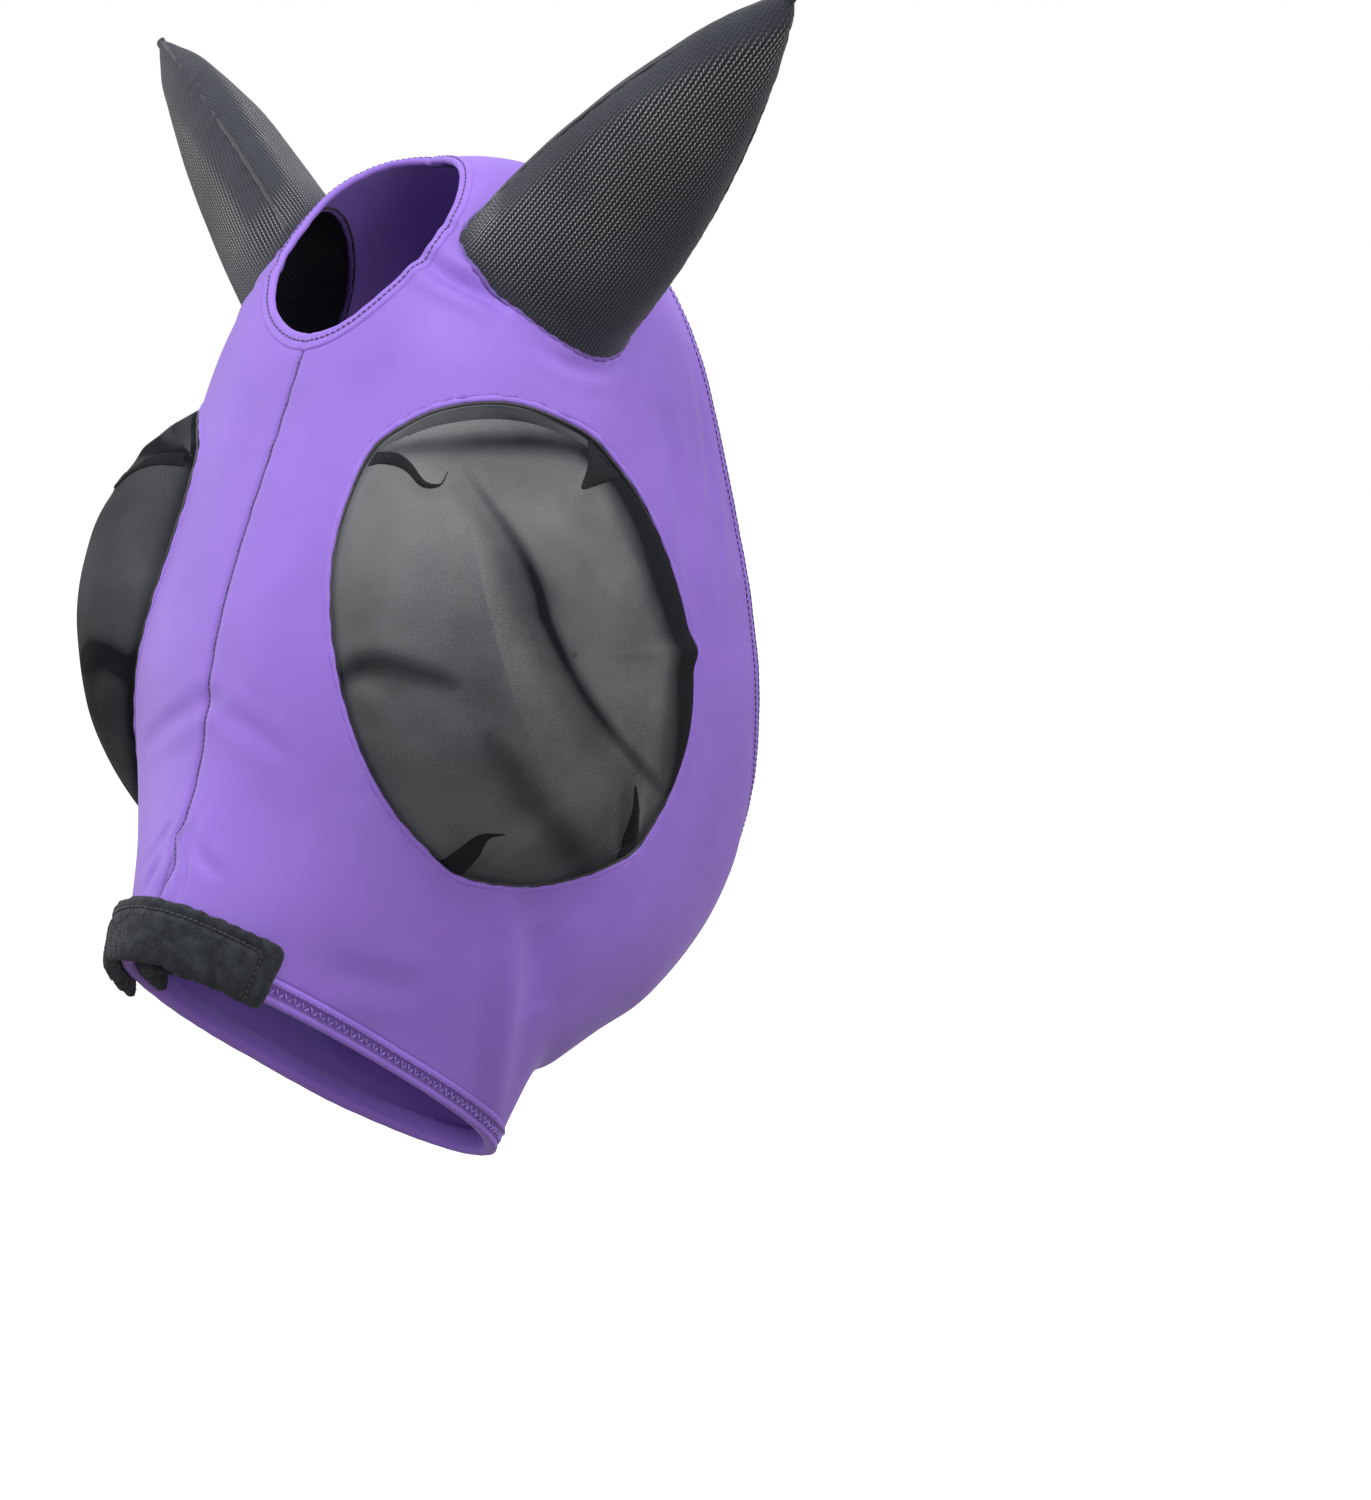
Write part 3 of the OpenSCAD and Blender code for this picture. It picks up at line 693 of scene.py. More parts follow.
def thread_material(name, color):
    material, tree, bsdf = new_material(name, color, 0.45, Sheen_Weight=0.2, Specular_IOR_Level=0.45)
    uneven = noise_output(tree, 300, 2, 5.0)
    ramp_color(tree, bsdf, uneven, [(0.3, scaled(color, 0.7)), (0.7, scaled(color, 1.25))])
    add_bump(tree, bsdf, noise_output(tree, 2200, 2, 6.0), 0.4, 0.0002)
    return material


def fleece_material(name, low, high):
    material, tree, bsdf = new_material(
        name, low, 0.95, Sheen_Weight=0.12, Sheen_Roughness=0.6, Specular_IOR_Level=0.06)
    ramp_color(tree, bsdf, noise_output(tree, 160, 4, 7.0), [(0.35, low), (0.7, high)])
    coords = add_node(tree, "ShaderNodeTexCoord").outputs["Object"]
    slanted = add_node(tree, "ShaderNodeMapping", [("Vector", coords)], Rotation=(0.0, 0.9, 0.5),
                       Scale=(1.0, 1.0, 0.3))
    crinkle = add_node(tree, "ShaderNodeTexNoise", [("Vector", slanted.outputs[0])], Scale=420.0, Detail=3.0)
    first = add_bump(tree, bsdf, crinkle.outputs["Fac"], 0.75, 0.0012)
    add_bump(tree, bsdf, noise_output(tree, 900, 3, 8.0), 0.4, 0.0004, first)
    return material


def elastic_material():
    material, tree, bsdf = new_material("elastic_white", (0.7, 0.7, 0.74), 0.7, Specular_IOR_Level=0.3)
    coords = add_node(tree, "ShaderNodeTexCoord").outputs["Object"]
    ribs = add_node(tree, "ShaderNodeTexWave", [("Vector", coords)], Scale=240.0, Distortion=1.0)
    ramp_color(tree, bsdf, ribs.outputs["Fac"], [(0.2, (0.52, 0.52, 0.56)), (0.8, (0.74, 0.74, 0.78))])
    add_bump(tree, bsdf, ribs.outputs["Fac"], 0.5, 0.0004)
    return material


PURPLE = (0.270, 0.150, 0.590)
MATERIALS = {
    "lycra": lycra("lycra_purple", PURPLE),
    "edge": lycra("lycra_purple_edge", scaled(PURPLE, 1.06)),
    "ear": ear_mesh_material(),
    "eye": eye_mesh_material(),
    "eye_fold": eye_fold_material(),
    "black_thread": thread_material("thread_black", (0.018, 0.018, 0.022)),
    "purple_thread": thread_material("thread_dark_purple", (0.052, 0.032, 0.112)),
    "hem_thread": thread_material("thread_purple", (0.290, 0.165, 0.600)),
    "ear_seam": thread_material("ear_seam_black", (0.020, 0.021, 0.025)),
    "fleece": fleece_material("fleece_black", (0.015, 0.017, 0.020), (0.036, 0.042, 0.049)),
    "pile": fleece_material("fleece_pile", (0.020, 0.023, 0.027), (0.042, 0.048, 0.056)),
    "elastic": elastic_material(),
}


# ---------------------------------------------------------------- hood panels

def panel_field(t, p):
    """Positive on the panel's cloth, zero on the edges of its openings, in millimetres."""
    eye = eye_distance(t, p) - 1.6
    ear = ear_distance(t, p) - 0.4
    forelock = forelock_distance(t, p) - FORELOCK_HEM * 0.85
    return np.minimum(np.minimum(eye, ear), forelock)


def snap_to_edge(t, p, field, reach, keep):
    """Moves the places nearest to an opening's edge onto it."""
    for _ in range(3):
        value = field(t, p)
        near = (np.abs(value) < reach) & keep
        slope_t, slope_p = steps(field, t, p)
        speed_t, speed_p = (np.linalg.norm(v, axis=-1) for v in steps(skin, t, p))
        a = slope_t / speed_t
        b = slope_p / speed_p
        steep = np.maximum(a * a + b * b, 0.05)
        t = np.where(near, t - value * a / steep / speed_t * (2 * STEP_T), t)
        p = np.where(near, p - value * b / steep / speed_p * (2 * STEP_P), p)
    value = field(t, p)
    return t, p, np.where(near, 0.0, value)


def clip_grid(t, p, value, field):
    """Keeps the part of a grid where value is positive, with shared points on the cut edges."""
    rows, cols = t.shape
    places = np.stack([t.ravel(), p.ravel()], -1).tolist()
    value = value.ravel()
    quads = grid_faces(rows, cols)
    corner = value[quads]
    whole = quads[(corner >= 0).all(1) & (corner.max(1) > 0)]
    mixed = quads[(corner < 0).any(1) & (corner > 0).any(1)]
    cut = {}

    def crossing(a, b):
        key = (min(a, b), max(a, b))
        if key not in cut:
            k = value[a] / (value[a] - value[b])
            cut[key] = len(places)
            places.append([x + (y - x) * k for x, y in zip(places[a], places[b])])
        return cut[key]

    faces = whole.tolist()
    for quad in mixed.tolist():
        ring = []
        for a, b in zip(quad, quad[1:] + quad[:1]):
            if value[a] >= 0:
                ring.append(a)
            if (value[a] > 0 and value[b] < 0) or (value[a] < 0 and value[b] > 0):
                ring.append(crossing(a, b))
        if len(ring) > 2:
            faces.append(ring)
    used = sorted({v for f in faces for v in f})
    index = {v: i for i, v in enumerate(used)}
    places = np.array(places)[used]
    return places, [[index[v] for v in f] for f in faces]


def panel_places():
    rows, cols = 176, 190
    x = np.linspace(0, 1, cols + 1)
    p = np.clip(180 * (0.35 * x + 0.65 * x ** 2), 0.12, 179.85)
    start = end_t(0, p, HEM_WIDTH - 0.2)
    finish = end_t(1, p, HEM_WIDTH - 0.2)
    k = np.linspace(0, 1, rows + 1)[:, None]
    t = start + (finish - start) * k
    p = np.broadcast_to(p, t.shape).copy()
    inner = np.zeros(t.shape, bool)
    inner[1:-1, 1:-1] = True
    t, p, value = snap_to_edge(t, p, panel_field, 1.1, inner)
    return clip_grid(t, p, value, panel_field)


def hood_panels():
    places, faces = panel_places()
    for side, name in SIDES:
        t, p = places[:, 0], places[:, 1] * side
        points = cloth_point(t, p, np.full(len(t), FABRIC))
        # Painted shade in the groove along the centre seams.
        shade = 0.5 * bell(np.abs(points[:, 0]), 1.1)
        order = flipped(faces) if side > 0 else faces
        piece = make_piece(f"{name}_panel", points, order, "lycra", "hood_lycra", f"{name}_face_panel",
                           shade=shade)
        thicken(piece, JERSEY)


# ---------------------------------------------------------------- hems

# Folded hem sections: distance in from the hood's edge, height above its inner face
HEM_SECTION = [
    (12.0, 1.55), (10.0, 2.0), (8.4, 1.5), (7.0, 2.1), (5.5, 2.35), (4.0, 2.15), (2.6, 1.55),
    (1.4, 2.0), (0.5, 1.5), (0.0, 0.2), (0.0, -2.2), (0.5, -3.6), (1.4, -4.2), (4.0, -4.1),
    (8.0, -4.1), (11.0, -3.9), (11.0, -2.9), (8.0, -2.7), (3.0, -2.7), (1.9, -2.3), (1.8, -0.3),
    (3.0, 0.1), (8.0, 0.2), (12.0, 0.35),
]
NOSE_SECTION = [
    (12.0, 1.5), (11.0, 2.3), (10.0, 2.5), (9.1, 2.1), (8.6, 1.3), (6.4, 1.25), (4.2, 1.4), (3.4, 2.1),
    (2.0, 2.4), (0.7, 2.0), *HEM_SECTION[9:],
]


def ring_angles(count):
    p = np.linspace(0, 360, count, endpoint=False)
    return np.where(p > 180, p - 360, p)


def folded_hem(end, name):
    p = ring_angles(400)
    section = NOSE_SECTION if end else HEM_SECTION
    rings = [cloth_point(end_t(end, p, d), p, np.full(len(p), n)) for d, n in section]
    points = np.stack(rings, 1)
    faces = grid_faces(len(p), len(section), True, True)
    # Painted shade in the nose hem's sunken channel between its two ridges, where the zigzag stitches run.
    channel_shade = [0.55 if end and n > 0 and 3.8 < d < 9.0 else 0.0 for d, n in section]
    make_piece(f"{name}_folded_hem", points, faces if end else flipped(faces), "edge", "hood_edge",
               f"{name}_hem", shade=np.broadcast_to(channel_shade, points.shape[:2]))


def hem_stitching(end, name, rows, material):
    """Rows of stitches along a hem: distance in, height, pitch, thread radius, zigzag width."""
    parts = []
    p = ring_angles(360)
    for d, n, pitch, radius, zigzag in rows:
        t = end_t(end, p, d)
        line = cloth_point(t, p, np.full(len(p), n))
        parts.append(stitch_row(line, outward(t, p), pitch, True, radius, zigzag))
    make_piece(f"{name}_hem_stitches", *join_parts(parts), material, "purple_thread",
               f"{name}_hem_stitching")


def forelock_place(a, d):
    """Places at a distance d outside the edge of the forelock opening."""
    k = 1 + d / FORELOCK_RADIUS
    t = FORELOCK_PLACE + FORELOCK_HALF_LENGTH * np.cos(a) * k
    return t, FORELOCK_HALF_ANGLE * np.sin(a) * k


def forelock_ripple(a, d):
    return (0.22 * np.sin(a * 9 + 1) + 0.16 * np.sin(a * 31) * np.sin(a * 3)) * (1 - d / 8)


def forelock_edge():
    a = full_turn(240)
    section = [(6.4, 1.6), (5.6, 2.3), (4.2, 2.2), (3.0, 1.8), (1.8, 2.3), (0.7, 2.1), (0.0, 1.2),
               (0.0, 0.0), (0.7, -0.9), (3.0, -1.1), (5.6, -0.8), (6.4, 0.3)]
    rings = [cloth_point(*forelock_place(a, d), n + forelock_ripple(a, d)) for d, n in section]
    faces = grid_faces(len(a), len(section), True, True)
    make_piece("forelock_turned_edge", np.stack(rings, 1), faces, "edge", "hood_edge", "forelock_hem")
    t, p = forelock_place(a, 3.0)
    line = cloth_point(t, p, 2.0 + forelock_ripple(a, 3.0))
    make_piece("forelock_stitches", *stitch_row(line, outward(t, p), 3.0, True), "purple_thread",
               "purple_thread", "forelock_hem_stitching")


# ---------------------------------------------------------------- centre seams

def seam_paths():
    margin = FORELOCK_HALF_LENGTH * (1 + (FORELOCK_HEM + 2) / FORELOCK_RADIUS)
    return {
        "face_seam": (0, FORELOCK_PLACE + margin, float(end_t(1, 0, PAD_ABOVE + 8))),
        "poll_seam": (0, float(end_t(0, 0, HEM_WIDTH + 1)), FORELOCK_PLACE - margin),
        "throat_seam": (180, float(end_t(0, 180, HEM_WIDTH + 1)), float(end_t(1, 180, HEM_WIDTH + 1))),
    }


def centre_seams():
    ruffle = round_section(7.4, 1.1, 12)
    for name, (p, t0, t1) in seam_paths().items():
        t = np.linspace(t0, t1, 160)
        angle = np.full(t.shape, float(p))
        up = outward(t, angle)
        wobble = np.outer(0.35 * np.sin(t * 170) + 0.25 * np.sin(t * 391), (1, 0, 0))
        inner = cloth_point(t, angle, np.full(t.shape, -0.9)) + wobble
        section = np.broadcast_to(ruffle, (len(t), *ruffle.shape)).copy()
        section[..., 1] += 0.35 * np.sin(t * 240)[:, None] * (section[..., 0] / 3.7)
        first = list(range(len(ruffle)))
        faces = grid_faces(len(t), len(ruffle), False, True).tolist()
        faces += [first[::-1], [(len(t) - 1) * len(ruffle) + k for k in first]]
        make_piece(f"{name}_allowance", sweep(inner, up, section, False), faces, "edge", "hood_edge", name)
        line = cloth_point(t, angle, np.full(t.shape, FABRIC - 0.12)) + wobble
        rows = [stitch_row(line, up, 2.6, False, 0.3, 0.18, 0.9)]
        for offset in (-3.0, 3.0):
            edge = inner - up * 0.8 + np.array([offset, 0, 0])
            rows.append(stitch_row(edge, -up, 1.5, False, 0.28, 1.2, 0.95))
        make_piece(f"{name}_thread", *join_parts(rows), "purple_thread", "purple_thread")


# ---------------------------------------------------------------- eye meshes

def dome_height(k):
    return EYE_DOME * np.maximum(0, 1 - k * k) ** 0.8


# Fold lines on a dome, in millimetres across and up its opening: half width and height
DOME_FOLDS = [
    ([(-40, 98), (-1, 92), (39, 82), (56, 64)], 3.4, 0.9),
    ([(11, 64), (18, 34), (15, 11), (26, -35), (43, -67)], 6.0, 1.5),
    ([(-27, 94), (-24, 86), (-18, 78), (-9, 79)], 3.0, 1.0),
    ([(-74, 8), (-61, 2), (-50, -12)], 5.0, -1.4),
    ([(-50, -91), (-36, -86), (-22, -80)], 3.0, 1.0),
    ([(29, -107), (34, -90), (39, -74)], 3.0, 1.0),
    ([(61, 78), (52, 66), (44, 58)], 3.0, 0.9),
]

# Soft dark bands along the folds: painted shade of the folds, partly also the denser mesh where it bunches:
# places, half width, depth
DOME_SHADES = [
    ([(-2, 84), (12, 50), (18, 26), (19, 6), (28, -30), (44, -66), (52, -84)], 3.2, 0.48),
    ([(-8, 76), (8, 46), (14, 16), (20, -14), (34, -50)], 10.0, 0.30),
    ([(-92, -8), (-72, 6), (-56, 8), (-40, 0), (-22, -10)], 6.0, 0.55),
    ([(-20, -30), (-6, -62), (4, -92), (10, -116)], 8.0, 0.30),
    ([(-60, 92), (-38, 97), (0, 93), (38, 84), (58, 69), (72, 50)], 4.5, 0.50),
]


def dome_relief(uv, side):
    """Folds that the darts and the stretch put in the mesh."""
    flat = np.concatenate([uv, np.zeros((*uv.shape[:-1], 1))], -1)
    height = 0.6 * soft_noise(flat, 34, 20 + side) + 0.18 * soft_noise(flat, 15, 22 + side)
    for places, width, rise in DOME_FOLDS:
        path = smooth_path(places, 30)
        line = np.concatenate([path, np.zeros((30, 1))], -1)
        distance, along = nearest_on(flat, line)
        fade = np.sin(np.pi * np.clip(along, 0.02, 0.98)) ** 0.5
        height += rise * fade * (bell(distance, width) - 0.5 * bell(distance - 2 * width, width))
    return height * smooth(1.0, 0.93, oval_share(uv))


def dome_frame(base_uv):
    """Places, height direction and plain height over points of the opening."""
    tp = EYE.place(base_uv)
    t, p = tp[..., 0], tp[..., 1]
    normal = outward(t, p)
    slanted = EYE.axis / np.maximum(0.4, normal @ EYE.axis)[..., None]
    k = oval_share(base_uv)
    blend = smooth(0.88, 1.0, k)[..., None]
    direction = normal * (1 - blend) + slanted * blend
    return skin(t, p), direction, dome_height(np.minimum(k, 1))


def dome_point(base_uv, lift, side):
    foot, direction, height = dome_frame(base_uv)
    plain = foot + direction * height[..., None]
    raised = dome_relief(EYE.uv(plain), side) + lift
    return plain + direction * np.asarray(raised)[..., None], EYE.uv(plain)


def seam_allowance(a, side):
    """Where the mesh runs on inside the cloth round its opening."""
    tp = EYE.place(oval(a, EYE_WIDTH + 7, EYE_HEIGHT + 7))
    t, p = tp[..., 0], tp[..., 1]
    points = skin(t, p) + outward(t, p) * (1.0 + relief(t, p * side))[..., None]
    return points, EYE.uv(points)


def kept_inside(base):
    """Pulls places of the opening that fall past its edge back onto it."""
    return base / np.maximum(oval_share(base)[..., None] / RIM_SHARE, 1)


def on_dome(goal_uv, lift, side):
    """Points of the dome that lie over goal places, seen along the eye's own axis."""
    base = goal_uv
    for _ in range(8):
        base = kept_inside(base)
        foot, direction, height = dome_frame(base)
        miss = goal_uv - EYE.uv(foot + direction * height[..., None])
        base = base + miss * 0.7
    return dome_point(kept_inside(base), lift, side)[0]


# Sewn darts: the two places on the rim, then the places that lead to the point
DARTS = {
    "top_dart": ([(55, 87), (69, 62)], [(57, 71), (52, 66), (46, 62)]),
    "low_front_dart": ([(-55, -87), (-46, -96)], [(-39, -84), (-30, -78.5), (-21, -79.5)]),
    "low_rear_dart": ([(22, -109), (33, -106)], [(31, -96), (36, -84), (39, -73)]),
    "top_hook": ([(-43, 93), (-38, 98)], [(-31, 93), (-25, 88), (-20, 79), (-13, 77), (-8.5, 82)]),
}


def dart_patch(base, lead, side):
    """A folded tongue of mesh lying on the dome, wide at the rim and pointed inside."""
    rows, cols = 22, 8
    k = np.linspace(0, 1, rows)[:, None, None]
    j = np.linspace(0, 1, cols)[None, :, None]
    a, b = np.array(base, float)
    middle = smooth_path([tuple((a + b) / 2), *lead], rows)[:, None]
    taper = (1 - k) ** 1.2 + 0.04
    uv = middle + (b - a) * (j - 0.5) * taper
    lift = 1.0 + 0.8 * np.sin(np.pi * j[..., 0]) * (1 - k[..., 0])
    return on_dome(uv, lift, side), uv, grid_faces(rows, cols)


def top_fold_patch(side):
    """The double layer between the upper fold line and the rim."""
    count, depth = 60, 10
    path = smooth_path(DOME_FOLDS[0][0], count)
    angle = np.arctan2(path[:, 1] / EYE_HEIGHT, path[:, 0] / EYE_WIDTH)
    rim = oval(angle, EYE_WIDTH * 0.985, EYE_HEIGHT * 0.985)
    k = np.linspace(0, 1, depth)[None, :, None]
    uv = path[:, None] + (rim[:, None] - path[:, None]) * k
    lift = np.broadcast_to(0.15 + 0.85 * k[..., 0], uv.shape[:2])
    return on_dome(uv, lift, side), uv, grid_faces(count, depth)


def dome_shade(uv, a, side):
    """How dark each place of the mesh is: painted shade towards the bottom and rear and over the whole right
    dome, a band at the rear edge that is partly doubled mesh and partly painted shade, darker close to the
    rim, and the painted shade of its fold bands.
    """
    inset = np.maximum(1 - oval_share(uv), 0) * 90
    rear = smooth(0.35, 0.85, np.cos(a - 0.05))[None]
    # Painted shade: darker towards the bottom and rear, and darker all over the right dome.
    downward = uv[..., 0] / EYE_WIDTH - 1.7 * uv[..., 1] / EYE_HEIGHT
    shade = 0.13 * smooth(-0.8, 0.6, downward) + (0.36 if side < 0 else 0.0)
    # A dark band along the rear edge, partly the mesh lying doubled there and partly painted shade; darker
    # close to the rim.
    shade = shade + 0.75 * rear * bell(inset, 11, 3) + 0.3 * bell(inset, 2.5)
    for places, width, depth in DOME_SHADES:
        distance, along = nearest_on(uv, smooth_path(places, 30))
        fade = np.sin(np.pi * np.clip(along, 0.001, 0.999)) ** 0.7
        shade = shade + depth * fade * bell(distance, width * (0.3 + 0.7 * fade))
    return np.clip(shade, 0, 1)


def dome_folds(side, name):
    patches = {key: dart_patch(*value, side) for key, value in DARTS.items()}
    patches["top_fold"] = top_fold_patch(side)
    for key, (patch, uv, faces) in patches.items():
        layer = "eye" if key == "top_fold" else "eye_fold"
        # Painted shade along the upper fold line, fading towards the rim; it also makes the doubled top fold
        # less see-through. The darts' near-black material does not read it.
        fade = np.broadcast_to(np.linspace(0.8, 0.35, patch.shape[1]), patch.shape[:2])
        fold = make_piece(f"{name}_eye_{key}", patch, faces, layer, "eye_mesh", side=side, uv=uv,
                          shade=fade)
        thicken(fold, 0.4, 0.0)


def eye_domes():
    rings, count = 64, 220
    k = np.linspace(0.0, 1.0, rings) ** 0.9
    k[0] = 0.004
    a = full_turn(count)
    base = oval(a, EYE_WIDTH - 0.8, EYE_HEIGHT - 0.8)[None] * k[:, None, None]
    for side, name in SIDES:
        points, uv = dome_point(base, 0.6, side)
        allowance, allowance_uv = seam_allowance(a, side)
        points = np.concatenate([points, allowance[None]])
        uv = np.concatenate([uv, allowance_uv[None]])
        faces = grid_faces(rings + 1, count, False, True).tolist()
        faces.append(list(range(count)))
        piece = make_piece(f"{name}_eye_dome", points, faces, "eye", "eye_mesh", f"{name}_eye_mesh",
                           side=side, uv=uv, shade=dome_shade(uv, a, side))
        thicken(piece, 0.5, 0.0)
        dome_folds(side, name)
        eye_rim(side, name)


def edge_roll(name, tp, side, lift, follow, section, uneven, material, slot, node, shade=None):
    """A rolled edge or cord along a closed line of places; follow is its share of the cloth's relief."""
    t, p = tp[:, 0], tp[:, 1]
    normal = outward(t, p)
    path = skin(t, p) + normal * (lift + follow * relief(t, p * side))[:, None]
    points = sweep(path, normal, section[None] * uneven[:, None, None])
    make_piece(name, points, grid_faces(len(tp), len(section), True, True), material, slot, node, side,
               True, shade=shade)


def eye_rim(side, name):
    a = full_turn(300)
    uneven = 1 + 0.12 * np.sin(a * 57) + 0.08 * np.sin(a * 23 + 1)
    for key, spread, width, height, lift, material, slot, node in (
            ("rolled_edge", 1.6, 3.2, 2.4, 1.0, "edge", "hood_edge", f"{name}_eye_binding"),
            ("rim_cord", -0.5, 1.6, 1.6, 1.7, "black_thread", "black_thread", None)):
        tp = EYE.place(oval(a, EYE_WIDTH + 2 * spread, EYE_HEIGHT + 2 * spread))
        edge_roll(f"{name}_eye_{key}", tp, side, lift, 0.6, round_section(width, height, 12), uneven,
                  material, slot, node)


# ---------------------------------------------------------------- ear pockets

def ear_foot(a, spread=0.0):
    goal = np.stack([(EAR_HALF_WIDTH + spread) * np.cos(a), (EAR_HALF_DEPTH + spread) * np.sin(a)], -1)
    return EAR.place(goal)


def ear_width_at(s):
    return np.maximum(np.maximum(1 - s * s, 0) ** 0.85, 0.06)


def ear_point(a, s, n):
    """Ear pocket's outer face at angle a round its oval and share s of its length."""
    tp = ear_foot(a)
    reach = (skin(tp[..., 0], tp[..., 1]) - EAR.centre) * ear_width_at(s)[..., None]
    size = np.linalg.norm(reach, axis=-1, keepdims=True)
    grown = reach * (1 + np.asarray(n)[..., None] / size)
    return EAR.centre + EAR.axis * EAR_LENGTH * s[..., None] + grown


def blend_ear(piece):
    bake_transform(piece)


def ear_half(side, name, key, a0, a1, node):
    """Half of an ear pocket, from angle a0 to a1 round it, with its lumps, gathers, a dark doubled strip
    along its hem side and painted shade.
    """
    rows, cols = 120, 84
    s = np.linspace(0, 1, rows) ** 0.92
    a = np.radians(np.linspace(a0, a1, cols))
    ss, aa = np.broadcast_arrays(s[:, None], a[None, :])
    plain = ear_point(aa, ss, np.zeros(ss.shape))
    arc = np.cumsum(np.linalg.norm(np.diff(plain, axis=1, prepend=plain[:, :1]), axis=-1), axis=1)
    middle = arc[:, cols // 2:cols // 2 + 1]
    to_edge = np.minimum(arc, arc[:, -1:] - arc)
    gather = 0.3 * np.sin(ss * 95 + 3 * soft_noise(plain, 12, 31)) * np.exp(-to_edge / 4)
    foot = 1.9 * np.exp(-ss * EAR_LENGTH / 6)
    hem_side = arc if a0 == 180 else arc[:, -1:] - arc
    lumps = 1.1 * soft_noise(plain, 45, 32 + side) + 0.3 * soft_noise(plain, 18, 33)
    lumps += 0.9 * bell(hem_side - 16, 5)
    lumps = lumps * smooth(0, 0.1, ss)
    n = -0.3 + gather * smooth(0, 0.05, ss) + foot + lumps
    points = ear_point(aa, ss, n)
    uv = np.stack([arc - middle, ss * EAR_LENGTH], -1)
    across = hem_side / np.maximum(arc[:, -1:], 1)
    # A dark strip where the mesh lies doubled along the hem side.
    shade = 0.92 * bell(hem_side, 16, 8) * smooth(0.12, 0.2, ss)
    # Painted shade towards the rear edge and low down, and at the ear's foot.
    shade = np.maximum(shade, 0.75 * smooth(0.45, 0.85, across + 0.35 * (0.35 - ss)))
    shade = np.maximum(shade, 0.8 * bell(ss * EAR_LENGTH, 7))
    piece = make_piece(f"{name}_ear_{key}", points, grid_faces(rows, cols), "ear", "ear_mesh", node,
                       side=side, body=None, uv=uv, shade=shade)
    thicken(piece, 0.9)
    blend_ear(piece)


def ear_seam(side, name):
    s = np.linspace(0.0, 1, 150)
    rear = ear_point(np.zeros(150), s, np.full(150, 0.5))
    front = ear_point(np.full(150, math.pi), s[::-1], np.full(150, 0.5))
    path = resample(np.vstack([rear, front[1:]]), 1.4, False)
    middle = EAR.centre + EAR.axis * ((path - EAR.centre) @ EAR.axis)[:, None]
    away = path - middle
    ups = unit(np.where(np.linalg.norm(away, axis=1, keepdims=True) < 4, EAR.axis, away))
    x = np.arange(len(path))
    uneven = 1 + 0.10 * np.sin(x * 1.7) + 0.10 * np.sin(x * 0.61)
    section = round_section(1.8, 1.6, 10)[None] * uneven[:, None, None]
    faces = grid_faces(len(path), 10, False, True)
    piece = make_piece(f"{name}_ear_bound_seam", sweep(path, ups, section, False), faces, "ear_seam",
                       "ear_seam", f"{name}_ear_seam", side=side, swept=True, body=None)
    blend_ear(piece)


def ear_base_roll(side, name):
    a = full_turn(220)
    uneven = 1 + 0.15 * np.sin(a * 41) + 0.1 * np.sin(a * 17)
    # The roll is painted with shade where it tucks under the ear's foot.
    edge_roll(f"{name}_ear_base_roll", ear_foot(a, 0.6), side, 0.9, 1.0, round_section(2.6, 2.2, 12),
              uneven, "edge", "hood_edge", f"{name}_ear_base_binding", np.full((len(a), 12), 0.7))


def ears():
    for side, name in SIDES:
        ear_half(side, name, "outer_half", 180, 360, f"{name}_ear_front")
        ear_half(side, name, "inner_half", 0, 180, f"{name}_ear_back")
        ear_seam(side, name)
        ear_base_roll(side, name)


# ---------------------------------------------------------------- fleece nose pad

def pad_loop(layer):
    """Middle, half height and half thickness of one pad layer's section, as (along, above)."""
    mid_d = (PAD_ABOVE - PAD_BELOW) / 2
    half_d = (PAD_ABOVE + PAD_BELOW) / 2
    if layer == "outer":
        return mid_d, half_d, FABRIC + JERSEY + PAD_LAYER / 2
    return mid_d, half_d, -4.4 - PAD_LAYER / 2


def pad_form(layer):
    """Closed rounded pad bent round the nose, a little small so that it has room to swell."""
    mid_d, half_d, mid_n = pad_loop(layer)
    around, along = 40, 120
    b = full_turn(around)
    cd = np.sign(np.cos(b)) * np.abs(np.cos(b)) ** 0.5
    cn = np.sign(np.sin(b)) * np.abs(np.sin(b)) ** 0.5
    p = PAD_HALF_ANGLE * np.sin(np.linspace(-np.pi / 2, np.pi / 2, along))
    from_end = (PAD_HALF_ANGLE - np.abs(p)) / 2.0
    round_off = np.sqrt(np.clip(1 - (1 - np.minimum(from_end, 1)) ** 2, 0.02, 1))
    d = mid_d + np.outer(0.85 + 0.15 * round_off, cd) * (half_d - PAD_SHRINK)
    n = mid_n + np.outer(round_off, cn) * (PAD_LAYER / 2 - PAD_SHRINK)
    pp = np.broadcast_to(p[:, None], d.shape)
    t = 1 - d / end_speed(1, pp)
    points = skin(t, pp) + outward(t, pp) * n[..., None]
    faces = grid_faces(along, around, False, True).tolist()
    faces.append(list(range(around)))
    faces.append([(along - 1) * around + j for j in range(around)][::-1])
    return points, faces


